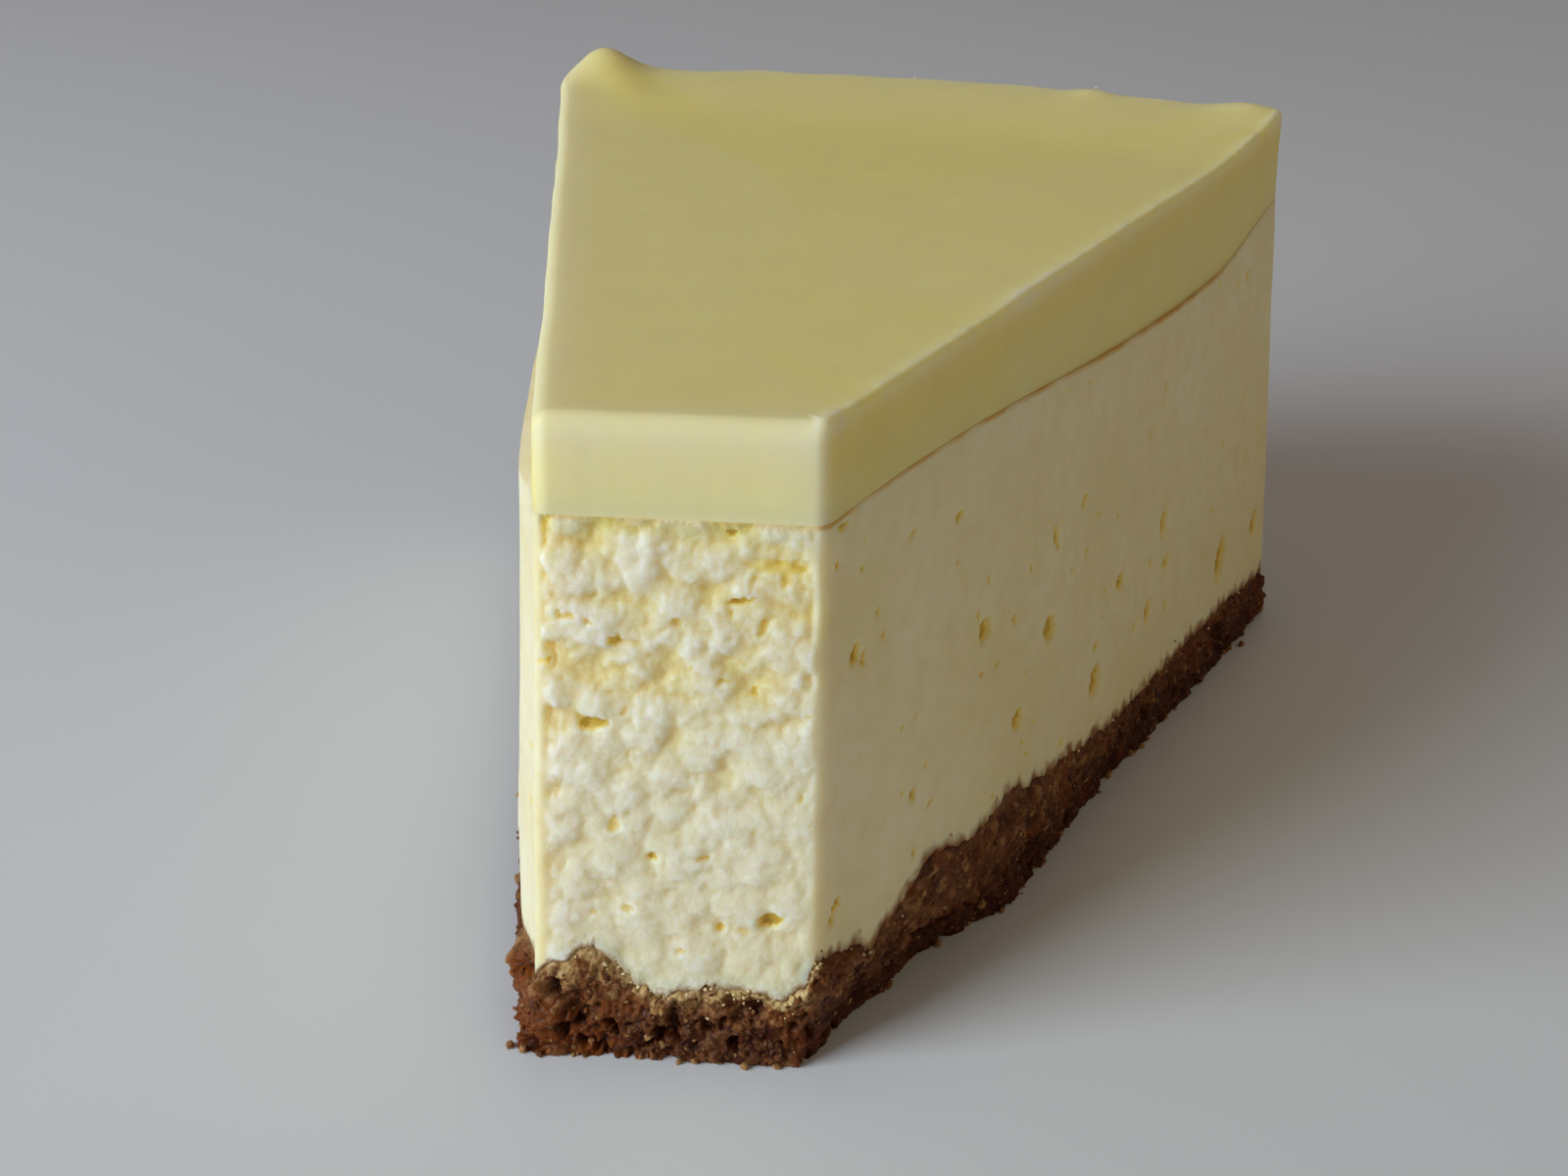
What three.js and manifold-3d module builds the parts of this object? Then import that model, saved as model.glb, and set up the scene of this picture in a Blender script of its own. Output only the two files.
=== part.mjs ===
// A slice of baked cheesecake, cut from a round cake, with its pointed tip already taken off.
// Three layers run right through it: a crumbly biscuit base, a tall cheese filling with small air holes,
// and a smooth set topping. The two long sides are knife cuts that spread outwards at the foot, the short
// front is torn, and the curved back is the side that stood against the tin.
// Millimetres, +Z up. The origin is on the flat underside, in the middle of the slice's length.
import * as THREE from "three";
import { mergeVertices } from "three/addons/utils/BufferGeometryUtils.js";
import Module from "manifold-3d";

const wasm = await Module();
wasm.setup();

// Plan: a sector of a 26 cm cake, without its tip
const rimRadius = 130;
const halfAngle = THREE.MathUtils.degToRad(17.6);
const tinCentreY = -80;
const cutDistance = 31.9;
const cutSkew = 0.145;
const frontCornerRadius = 1.5;
const rimRightRadius = 2;
const rimLeftRadius = 5.5;

// Heights
const toppingLevel = 54.6;
const rimRise = 1.3;
const leftLip = { height: 2.9, reach: 4.4, inside: 4 };
const rightLip = { height: 1, reach: 5, inside: 1 };
const seamHeight = 47.3;
const seamDip = 3.6;
const seamRimRise = 3.6;
const crustMean = 6.7;
const crustHump = 4.6;
const layerGap = 0.3;

// How far the cut sides spread outwards at the foot
const rightSpread = 3.3;
const leftSpread = 3.0;
const leftFrontShare = 0.6;
const leftBulge = 1.2;
const crustOverhang = 0.4;
const leftCrustOverhang = 1.2;

// Relief
const tornDepth = 1.5;
const tornLump = 4.2;
const crumbDepth = 0.9;
const crumbSize = 2.3;
const cutWave = 0.25;
const edgeRound = 1.5;

// The flat faces between layers are built from rings that shrink towards a spine along the slice's axis
const spineFront = -32;
const spineBack = 24;
const capCentre = new THREE.Vector2(0, 0);
const capShares = [0.85, 0.6, 0.3];

const clamp01 = (v) => Math.min(1, Math.max(0, v));
const lerp = (a, b, t) => a + (b - a) * t;
const smooth = (from, to, v) => THREE.MathUtils.smoothstep(v, from, to);
const bell = (v, centre, width) => Math.exp(-(((v - centre) / width) ** 2));

// Repeatable value noise from -1 to 1, on a lattice of the given cell size

function latticeValue(i, j, k, seed) {
  let h = Math.imul(i, 374761393) ^ Math.imul(j, 668265263) ^ Math.imul(k, 1597334677);
  h = Math.imul(h ^ Math.imul(seed, 974634777) ^ (h >>> 13), 1274126177);
  return ((h ^ (h >>> 16)) >>> 0) / 4294967295;
}

function noise(x, y, z, cell, seed) {
  const at = [x / cell, y / cell, z / cell];
  const low = at.map(Math.floor);
  const part = at.map((v, axis) => smooth(0, 1, v - low[axis]));
  let sum = 0;
  for (let corner = 0; corner < 8; corner++) {
    const step = [corner & 1, (corner >> 1) & 1, corner >> 2];
    const weight = step.reduce((w, s, axis) => w * (s ? part[axis] : 1 - part[axis]), 1);
    sum += weight * latticeValue(low[0] + step[0], low[1] + step[1], low[2] + step[2], seed);
  }
  return sum * 2 - 1;
}

function seededRandom(seed) {
  let state = seed;
  return () => {
    state = (Math.imul(state, 1664525) + 1013904223) >>> 0;
    return state / 4294967296;
  };
}

// The outline, seen from above and anticlockwise: front cut, right side, rim, left side, with round corners

const direction = (angle) => new THREE.Vector2(Math.sin(angle), Math.cos(angle));
const tinCentre = new THREE.Vector2(0, tinCentreY);
const frontNormal = new THREE.Vector2(cutSkew, -1).normalize();
const rightNormal = new THREE.Vector2(Math.cos(halfAngle), -Math.sin(halfAngle));
const leftNormal = new THREE.Vector2(-rightNormal.x, rightNormal.y);

// Where the round at a front corner is centred: the same distance inside the cut and inside the side
function frontCornerCentre(sideNormal) {
  const cutReach = (cutDistance + tinCentreY) * frontNormal.y - frontCornerRadius;
  const sideReach = tinCentre.dot(sideNormal) - frontCornerRadius;
  const scale = frontNormal.x * sideNormal.y - frontNormal.y * sideNormal.x;
  return new THREE.Vector2(
    (cutReach * sideNormal.y - sideReach * frontNormal.y) / scale,
    (sideReach * frontNormal.x - cutReach * sideNormal.x) / scale,
  );
}

// The angle, from the slice's axis, at which the rim's arc meets the round of a back corner
const rimCornerAngle = (radius) => halfAngle - Math.asin(radius / (rimRadius - radius));

function rimCornerCentre(side, radius) {
  return direction(side * rimCornerAngle(radius))
    .multiplyScalar(rimRadius - radius)
    .add(tinCentre);
}

function sample(point, normal, wall) {
  return { point, normal, wall, radius: point.distanceTo(tinCentre) };
}

function straightWall(from, to, normal, count, wall) {
  return Array.from({ length: count }, (_, i) => sample(from.clone().lerp(to, i / count), normal, wall));
}

function roundCorner(centre, radius, fromNormal, toNormal, count, wall) {
  const from = fromNormal.angle();
  const turn = THREE.MathUtils.euclideanModulo(toNormal.angle() - from, 2 * Math.PI);
  return Array.from({ length: count }, (_, i) => {
    const normal = new THREE.Vector2(1, 0).rotateAround(new THREE.Vector2(), from + (turn * i) / count);
    return sample(centre.clone().addScaledVector(normal, radius), normal, wall);
  });
}

function outline({ front, side, rim, corner }) {
  const frontLeft = frontCornerCentre(leftNormal);
  const frontRight = frontCornerCentre(rightNormal);
  const rimRight = rimCornerCentre(1, rimRightRadius);
  const rimLeft = rimCornerCentre(-1, rimLeftRadius);
  const rightEnd = rimCornerAngle(rimRightRadius);
  const leftEnd = -rimCornerAngle(rimLeftRadius);
  const off = (centre, normal, radius) => centre.clone().addScaledVector(normal, radius);
  const arc = Array.from({ length: rim }, (_, i) => {
    const normal = direction(lerp(rightEnd, leftEnd, i / rim));
    return sample(normal.clone().multiplyScalar(rimRadius).add(tinCentre), normal, "rim");
  });
  return [
    ...straightWall(
      off(frontLeft, frontNormal, frontCornerRadius),
      off(frontRight, frontNormal, frontCornerRadius),
      frontNormal,
      front,
      "front",
    ),
    ...roundCorner(frontRight, frontCornerRadius, frontNormal, rightNormal, corner, "right"),
    ...straightWall(
      off(frontRight, rightNormal, frontCornerRadius),
      off(rimRight, rightNormal, rimRightRadius),
      rightNormal,
      side,
      "right",
    ),
    ...roundCorner(rimRight, rimRightRadius, rightNormal, direction(rightEnd), corner, "rim"),
    ...arc,
    ...roundCorner(rimLeft, rimLeftRadius, direction(leftEnd), leftNormal, corner, "left"),
    ...straightWall(
      off(rimLeft, leftNormal, rimLeftRadius),
      off(frontLeft, leftNormal, frontCornerRadius),
      leftNormal,
      side,
      "left",
    ),
    ...roundCorner(frontLeft, frontCornerRadius, leftNormal, frontNormal, corner, "front"),
  ];
}

// How much a sample belongs to the torn front, to a cut side and to the rim, from the way that it faces
const frontShare = (s) => smooth(0.3, 0.97, s.normal.dot(frontNormal));
const sideShare = (s, normal) => smooth(0.1, 0.9, s.normal.dot(normal));

// Layer heights, as functions of the place in plan

// The seam under the topping dips between the middle of the cake and its raised baked rim
function seamAt(radius) {
  const dip = seamDip * smooth(45, 100, radius);
  return seamHeight - dip + seamRimRise * smooth(110, rimRadius, radius);
}

// A lip is a peak that the cream left on the tin at a back corner, a little inside the cut
function lipAt(point, side, lip) {
  const angle = side * (halfAngle - lip.inside / rimRadius);
  const peak = direction(angle).multiplyScalar(rimRadius - 1.5).add(tinCentre);
  return lip.height * bell(point.distanceTo(peak), 0, lip.reach);
}

// The topping's surface is level, climbs a little at the tin, and has a lip at both back corners
function topAt(point) {
  const rise = rimRise * smooth(108, rimRadius, point.distanceTo(tinCentre));
  const sway = 0.15 * noise(point.x, point.y, 0, 14, 3);
  return toppingLevel + rise + sway + lipAt(point, -1, leftLip) + lipAt(point, 1, rightLip);
}

// The base is thick at the left of the front and a third of the way down the sides, and jagged everywhere
function crustTop(s) {
  const across = s.point.x;
  const atFront = 3.2 * bell(across, -7.4, 3.2) - 0.4 + 1.4 * smooth(8, 10.5, across);
  const atSide = crustHump * bell(s.radius, 55, 18) - 1.6 * smooth(112, rimRadius, s.radius);
  const side = sideShare(s, rightNormal) + 0.4 * sideShare(s, leftNormal);
  const jag = 0.75 * noise(s.point.x, s.point.y, 0, 2.4, 11) + 0.35 * noise(s.point.x, s.point.y, 9, 1.1, 12);
  return crustMean + frontShare(s) * atFront + side * atSide + jag;
}

// Outward offsets of the walls from the outline, in millimetres

function sideSpread(s) {
  const right = rightSpread * smooth(36, 60, s.radius) * sideShare(s, rightNormal);
  const left = leftSpread * lerp(leftFrontShare, 1, smooth(34, 60, s.radius)) * sideShare(s, leftNormal);
  return right + left;
}

function fillingOffset(s, z) {
  const lean = sideSpread(s) * clamp01((seamHeight - z) / (seamHeight - crustMean));
  const swell = smooth(34, 41, s.radius) * lerp(1, 0.5, smooth(50, 80, s.radius));
  const bulge = leftBulge * swell * sideShare(s, leftNormal);
  const wave = cutWave * noise(s.point.x, s.point.y, z, 8, 21);
  const across = s.point.x * 0.8 + z * 0.6;
  const along = z * 0.8 - s.point.x * 0.6;
  const lumps = noise(across / 1.7, along, 0, tornLump, 22);
  const grains = 0.55 * noise(across, along, 4, tornLump / 2.2, 23);
  const torn = tornDepth * 0.5 * (lumps + grains - 0.9);
  const fade = smooth(0, 2.5, z - crustMean) * smooth(0, 1.5, seamAt(s.radius) - z);
  return lean + bulge + wave + torn * frontShare(s) * lerp(0.45, 1, fade);
}

function crustOffset(s, z) {
  const low = clamp01(1 - z / crustMean);
  const left = leftCrustOverhang * sideShare(s, leftNormal) * (1 - 0.6 * smooth(40, 70, s.radius));
  const crags = noise(s.point.x, s.point.y, z, crumbSize, 31) + 0.5 * noise(s.point.x, s.point.y, z, 1.2, 32);
  const rough = crumbDepth * lerp(1, 0.4, sideShare(s, direction(0)));
  return sideSpread(s) + (crustOverhang + left) * low + rough * crags * 0.8 - 0.2;
}

function toppingOffset(s, z) {
  return 0.12 * noise(s.point.x, s.point.y, z, 12, 41) - 0.25 * clamp01((z - seamHeight) / 6);
}

// A closed surface from rings that run from the underside's middle, up the wall, to the top's middle. The
// squares of the underside are split the other way, so that two layers split the face between them alike.

const wallPoint = (s, offset, z) => [s.point.x + s.normal.x * offset, s.point.y + s.normal.y * offset, z];

function capPoint(s, share, heightAt) {
  const spine = new THREE.Vector2(0, THREE.MathUtils.clamp(s.point.y, spineFront, spineBack));
  const at = spine.lerp(s.point, share);
  return [at.x, at.y, heightAt(at)];
}

function shell(bottom, rings, top, undersideRings) {
  const across = rings[0].length;
  const positions = [bottom, ...rings.flat(), top].flat();
  const last = 1 + rings.length * across;
  const index = [];
  const at = (ring, i) => 1 + ring * across + (i % across);
  for (let i = 0; i < across; i++) {
    index.push(0, at(0, i + 1), at(0, i));
    index.push(at(rings.length - 1, i), at(rings.length - 1, i + 1), last);
    for (let ring = 0; ring + 1 < rings.length; ring++) {
      const [a, b, c, d] = [at(ring, i), at(ring, i + 1), at(ring + 1, i + 1), at(ring + 1, i)];
      index.push(...(ring < undersideRings ? [a, b, d, b, c, d] : [a, b, c, a, c, d]));
    }
  }
  const geometry = new THREE.BufferGeometry();
  geometry.setAttribute("position", new THREE.Float32BufferAttribute(positions, 3));
  geometry.setIndex(index);
  return geometry;
}

// The jagged crust line at the wall fades to its mean height inside the slice
const crustHeight = (s, share) => lerp(crustMean, crustTop(s), smooth(0.3, 0.85, share));

function crustRing(s, share, lift) {
  return capPoint(s, share, () => crustHeight(s, share) + lift);
}

function seamRing(s, share, lift) {
  return capPoint(s, share, (at) => seamAt(at.distanceTo(tinCentre)) + lift);
}


function crustGeometry(loop) {
  const ring = (make) => loop.map(make);
  const rows = [
    ...[0.4, 0.8].map((share) => ring((s) => capPoint(s, share, () => 0))),
    ring((s) => wallPoint(s, crustOffset(s, 0) - 0.5, 0)),
    ...[0.12, 0.36, 0.62, 0.86].map((part) =>
      ring((s) => wallPoint(s, crustOffset(s, part * crustTop(s)), part * crustTop(s))),
    ),
    ring((s) => wallPoint(s, fillingOffset(s, crustTop(s) + layerGap), crustTop(s))),
    ...capShares.map((share) => ring((s) => crustRing(s, share, 0))),
  ];
  return shell([capCentre.x, capCentre.y, 0], rows, [capCentre.x, capCentre.y, crustMean], 2);
}

function fillingGeometry(loop, wallRows) {
  const low = (s) => crustTop(s) + layerGap;
  const high = (s) => seamAt(s.radius);
  const rows = [
    ...[...capShares].reverse().map((share) => loop.map((s) => crustRing(s, share, layerGap))),
    ...Array.from({ length: wallRows + 1 }, (_, row) =>
      loop.map((s) => {
        const z = lerp(low(s), high(s), row / wallRows);
        return wallPoint(s, fillingOffset(s, z), z);
      }),
    ),
    ...capShares.map((share) => loop.map((s) => seamRing(s, share, 0))),
  ];
  const middle = seamAt(capCentre.distanceTo(tinCentre));
  const foot = [capCentre.x, capCentre.y, crustMean + layerGap];
  return shell(foot, rows, [capCentre.x, capCentre.y, middle], capShares.length);
}

function toppingGeometry(loop) {
  const turns = [0, 30, 60, 90].map(THREE.MathUtils.degToRad);
  const rows = [
    ...[...capShares].reverse().map((share) => loop.map((s) => seamRing(s, share, layerGap))),
    ...[0, 0.35, 0.75].map((part) =>
      loop.map((s) => {
        const z = lerp(seamAt(s.radius) + layerGap, topAt(s.point) - edgeRound, part);
        return wallPoint(s, toppingOffset(s, z), z);
      }),
    ),
    ...turns.map((turn) =>
      loop.map((s) => {
        const z = topAt(s.point) - edgeRound * (1 - Math.sin(turn));
        return wallPoint(s, toppingOffset(s, z) - edgeRound * (1 - Math.cos(turn)), z);
      }),
    ),
    ...[0.86, 0.7, 0.4].map((share) => loop.map((s) => capPoint(s, share, topAt))),
  ];
  const middle = seamAt(capCentre.distanceTo(tinCentre)) + layerGap;
  const foot = [capCentre.x, capCentre.y, middle];
  return shell(foot, rows, [capCentre.x, capCentre.y, topAt(capCentre)], capShares.length);
}

// Air holes: shallow egg-shaped hollows, taller than wide, sunk into the walls of the filling

// The largest holes on the right side, each by radius from the cake's centre, height, width and tallness
const largeHoles = [
  { radius: 58, z: 29, width: 1.5, tall: 2.4 },
  { radius: 70, z: 24.5, width: 1.5, tall: 2.2 },
  { radius: 78, z: 15.7, width: 1.4, tall: 3.2 },
  { radius: 96, z: 24, width: 1.2, tall: 3.0 },
  { radius: 114, z: 14, width: 1.5, tall: 4.2 },
];

function nearestSample(loop, wall, radius) {
  const there = loop.filter((s) => s.wall === wall);
  return there.reduce((best, s) => (Math.abs(s.radius - radius) < Math.abs(best.radius - radius) ? s : best));
}

function airHole(s, z, width, tall) {
  const geometry = new THREE.SphereGeometry(1, 6, 4).toNonIndexed();
  const at = wallPoint(s, fillingOffset(s, z) - 0.12 * width, z);
  const turn = Math.atan2(s.normal.y, s.normal.x);
  geometry.scale(width * 0.55, width / 2, tall / 2).rotateZ(turn).translate(...at);
  return geometry;
}

function airHoles(loop) {
  const random = seededRandom(17);
  const holes = largeHoles.map((h) => airHole(nearestSample(loop, "right", h.radius), h.z, h.width, h.tall));
  for (const [wall, count] of [["right", 8], ["left", 12], ["front", 5], ["rim", 4]]) {
    const there = loop.filter((s) => s.wall === wall);
    for (let i = 0; i < count; i++) {
      const s = there[Math.floor(((i + 0.2 + 0.6 * random()) / count) * there.length)];
      const width = 0.9 + 0.7 * random();
      holes.push(airHole(s, lerp(13, 42, random()), width, width * (1.2 + 0.9 * random())));
    }
  }
  return holes;
}

// Joining and cutting

function toSolid(geometry) {
  const bare = new THREE.BufferGeometry();
  bare.setAttribute("position", geometry.getAttribute("position"));
  if (geometry.index) bare.setIndex(geometry.index);
  const merged = mergeVertices(bare, 1e-4);
  const vertProperties = new Float32Array(merged.attributes.position.array);
  const triVerts = new Uint32Array(merged.index.array);
  return new wasm.Manifold(new wasm.Mesh({ numProp: 3, vertProperties, triVerts }));
}

function toGeometry(solid) {
  const mesh = solid.getMesh();
  const geometry = new THREE.BufferGeometry();
  geometry.setAttribute("position", new THREE.Float32BufferAttribute(mesh.vertProperties, mesh.numProp));
  geometry.setIndex(new THREE.BufferAttribute(mesh.triVerts, 1));
  geometry.computeVertexNormals();
  return geometry;
}

const cut = (body, tools) => tools.reduce((rest, tool) => rest.subtract(toSolid(tool)), toSolid(body));

// The slice

function layer(name, solid, color, roughness) {
  const material = new THREE.MeshStandardMaterial({ color, roughness, metalness: 0 });
  const mesh = new THREE.Mesh(toGeometry(solid), material);
  mesh.name = name;
  return mesh;
}

const fineLoop = outline({ front: 17, side: 34, rim: 26, corner: 3 });
const plainLoop = outline({ front: 8, side: 20, rim: 20, corner: 3 });

const slice = new THREE.Group();
slice.add(layer("biscuit_base", toSolid(crustGeometry(fineLoop)), 0x6b4326, 0.85));
slice.add(layer("cheese_filling", cut(fillingGeometry(fineLoop, 16), airHoles(fineLoop)), 0xefe6bd, 0.6));
slice.add(layer("set_topping", toSolid(toppingGeometry(plainLoop)), 0xe6dc9e, 0.4));

export default slice;
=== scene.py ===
"""A slice of baked cheesecake with its tip taken off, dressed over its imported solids.

The slice has three layers, each a class of its own: a biscuit base of pressed crumbs, a cheese filling whose
long sides are knife cuts and whose short front is torn, and a set cream topping. Lengths inside the classes
are millimetres in the row's frame, and they turn into metres where a mesh is made.
"""

import itertools
import logging
import math
from dataclasses import dataclass, field
from enum import Enum

import bpy
import numpy as np
from mathutils import Matrix, Vector


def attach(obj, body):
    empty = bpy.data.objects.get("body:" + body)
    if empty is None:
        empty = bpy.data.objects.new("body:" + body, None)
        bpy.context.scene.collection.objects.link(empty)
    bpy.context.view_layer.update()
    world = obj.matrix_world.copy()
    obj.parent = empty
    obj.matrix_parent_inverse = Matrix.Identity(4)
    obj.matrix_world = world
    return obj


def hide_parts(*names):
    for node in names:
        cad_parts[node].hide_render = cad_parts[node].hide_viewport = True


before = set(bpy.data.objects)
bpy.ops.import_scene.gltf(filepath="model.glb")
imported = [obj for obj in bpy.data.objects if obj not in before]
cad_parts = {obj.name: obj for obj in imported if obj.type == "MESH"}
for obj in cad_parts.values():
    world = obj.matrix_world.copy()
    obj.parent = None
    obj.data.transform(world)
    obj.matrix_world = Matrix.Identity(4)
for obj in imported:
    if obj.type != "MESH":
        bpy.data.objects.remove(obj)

MM = 0.001
Array = np.ndarray
Colour = tuple[float, float, float]
Rows = tuple[tuple[float, ...], ...]
log = logging.getLogger("cheesecake")


# Small mathematics


def linear(hex_colour: str, scale: float = 1.0) -> tuple[float, float, float, float]:
    """Turn an sRGB hex colour into linear light.

    Formula: below 0.04045 a channel is divided by 12.92, and above it the usual 2.4 power applies.

    Args:
        hex_colour: six hexadecimal digits.
        scale: a factor on all three channels.

    Returns:
        Red, green, blue and an alpha of one.
    """
    channels = (int(hex_colour[at : at + 2], 16) / 255 for at in (0, 2, 4))
    light = [c / 12.92 if c <= 0.04045 else ((c + 0.055) / 1.055) ** 2.4 for c in channels]
    return (light[0] * scale, light[1] * scale, light[2] * scale, 1.0)


def smooth(low: float, high: float, value: Array) -> Array:
    """Ease from 0 at low to 1 at high: t squared times (3 - 2t), with t held between 0 and 1."""
    t = np.clip((value - low) / (high - low), 0.0, 1.0)
    return t * t * (3.0 - 2.0 * t)


def bell(value: Array, centre: float, width: float) -> Array:
    """A bump of height 1 at centre: e to the minus square of the distance over the width."""
    return np.exp(-(((value - centre) / width) ** 2))


def lerp(start: Array, end: Array, share: Array) -> Array:
    """The value a share of the way from start to end."""
    return start + (end - start) * share


def at_height(plan: Array, z: Array | float) -> Array:
    """Points in plan, shape (..., 2), with a height added, shape (..., 3)."""
    return np.concatenate([plan, np.broadcast_to(z, plan.shape[:-1])[..., None]], axis=-1)


# Repeatable noise, worked out for whole arrays of points


def scramble(cells: Array, seed: int) -> Array:
    """Give each lattice cell a repeatable random number from 0 to 1.

    Formula: the three whole coordinates are multiplied by large odd numbers, joined by exclusive or, and
    folded twice by a shift and a multiplication.

    Args:
        cells: whole numbers, shape (..., 3).
        seed: which random field to read.

    Returns:
        One number for each cell.
    """
    i, j, k = np.moveaxis(cells.astype(np.int64).astype(np.uint32), -1, 0)
    mixed = i * np.uint32(374761393) ^ j * np.uint32(668265263) ^ k * np.uint32(2147483629)
    mixed = mixed ^ np.uint32((seed * 974634777) % 2**32)
    mixed = (mixed ^ (mixed >> np.uint32(15))) * np.uint32(2246822519)
    mixed = (mixed ^ (mixed >> np.uint32(13))) * np.uint32(3266489917)
    mixed = mixed ^ (mixed >> np.uint32(16))
    return mixed.astype(np.float64) / 4294967295.0


def scramble_vector(cells: Array, seed: int) -> Array:
    """Three independent random numbers from 0 to 1 for each cell, shape (..., 3)."""
    return np.stack([scramble(cells, seed * 3 + axis) for axis in range(3)], axis=-1)


def swells(points: Array, cell: float, seed: int) -> Array:
    """Smooth hills and dales from about -1 to 1.

    Formula: each corner of a point's lattice cell has a random slope. The slopes' heights at the point are
    blended with weights that ease by 6t^5 - 15t^4 + 10t^3 along each axis.

    Args:
        points: shape (..., 3), in millimetres.
        cell: the size of a hill, in millimetres.
        seed: which random field to read.

    Returns:
        One height for each point.
    """
    scaled = points / cell
    low = np.floor(scaled)
    part = scaled - low
    ease = part**3 * (part * (part * 6.0 - 15.0) + 10.0)
    total = np.zeros(points.shape[:-1])
    for corner in itertools.product((0, 1), repeat=3):
        step = np.array(corner)
        slope = scramble_vector(low + step, seed) * 2.0 - 1.0
        weight = np.prod(np.where(step == 1, ease, 1.0 - ease), axis=-1)
        total += weight * np.sum(slope * (part - step), axis=-1)
    return total * 1.7


def lumps(points: Array, cell: float, seed: int, blend: float = 9.0) -> Array:
    """Rounded lumps that melt into each other, from about 0 in the creases to 1 on top.

    Formula: every lattice cell holds one random centre. The squared distances to the centres of the 27 cells
    around a point are joined by a soft minimum, minus the logarithm of the sum of e to the minus blend times
    each, over blend. One minus that is the height.

    Args:
        points: shape (..., 3), in millimetres.
        cell: how far apart the lumps are, in millimetres.
        seed: which random field to read.
        blend: how sharp the creases are.

    Returns:
        One height for each point.
    """
    scaled = points / cell
    low = np.floor(scaled)
    total = np.zeros(points.shape[:-1])
    for corner in itertools.product((-1, 0, 1), repeat=3):
        centre = low + np.array(corner)
        centre = centre + scramble_vector(centre, seed)
        total += np.exp(-blend * np.sum((scaled - centre) ** 2, axis=-1))
    return 1.0 + np.log(total + 1e-12) / blend


def layered(points: Array, cell: float, seed: int, octaves: int = 4, gain: float = 0.55) -> Array:
    """Swells on swells: each next layer is half as wide and gain times as high."""
    layers = (gain**at * swells(points, cell / 2.0**at, seed + 10 * at) for at in range(octaves))
    return sum(layers)


def cell_tint(points: Array, cell: float, seed: int) -> Array:
    """A random number from 0 to 1 that is the same all over one lump.

    Formula: the number belongs to the nearest of the random centres of the 27 cells around a point.

    Args:
        points: shape (..., 3), in millimetres.
        cell: how far apart the lumps are, in millimetres.
        seed: which random field to read.

    Returns:
        One number for each point.
    """
    scaled = points / cell
    low = np.floor(scaled)
    nearest = np.full(points.shape[:-1], np.inf)
    tint = np.zeros(points.shape[:-1])
    for corner in itertools.product((-1, 0, 1), repeat=3):
        home = low + np.array(corner)
        distance = np.sum((scaled - home - scramble_vector(home, seed)) ** 2, axis=-1)
        closer = distance < nearest
        nearest = np.where(closer, distance, nearest)
        tint = np.where(closer, scramble(home, seed + 91), tint)
    return tint


def warp(points: Array, cell: float, amount: float, seed: int) -> Array:
    """Push points about by three independent fields of swells, each up to amount millimetres."""
    push = np.stack([swells(points, cell, seed + axis) for axis in range(3)], axis=-1)
    return points + amount * push


# The plan of the slice


class Wall(Enum):
    """The four walls of the slice."""

    FRONT = "front"
    RIGHT = "right"
    RIM = "rim"
    LEFT = "left"


@dataclass(frozen=True)
class Spacing:
    """How far apart the points of a loop are on each wall, in millimetres, and how many a corner has."""

    front: float
    right: float
    rim: float
    left: float
    corner: int
    front_left: int


@dataclass(frozen=True)
class Loop:
    """One trip round the slice, seen from above and anticlockwise, as arrays of n points.

    The radius is the distance from the cake's centre. The arrays front, right, rim and left say how much each
    point belongs to that wall, from 0 to 1.
    """

    point: Array
    normal: Array
    radius: Array
    front: Array
    right: Array
    rim: Array
    left: Array

    @property
    def flat(self) -> Array:
        """The points at height 0, shape (n, 3)."""
        return at_height(self.point, 0.0)

    def wall(self, offset: Array, z: Array, shift: Array) -> Array:
        """Points at a height, carried by a sideways shift and moved outwards by an offset, (..., n, 3)."""
        return at_height(self.point + shift + self.normal * offset[..., None], z)

    def pick(self, weight: Array, line: Array, count: int, random: np.random.Generator) -> Array:
        """Random columns, more where the weight is high and where the line's points are far apart."""
        weight = weight * np.linalg.norm(np.roll(line, -1, axis=0) - line, axis=1)
        return random.choice(len(weight), size=count, p=weight / weight.sum())


def blurred(values: Array, reach: int) -> Array:
    """The mean of each value of a closed loop and of its neighbours, up to reach places away."""
    return np.mean([np.roll(values, step) for step in range(-reach, reach + 1)], axis=0)


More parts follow.
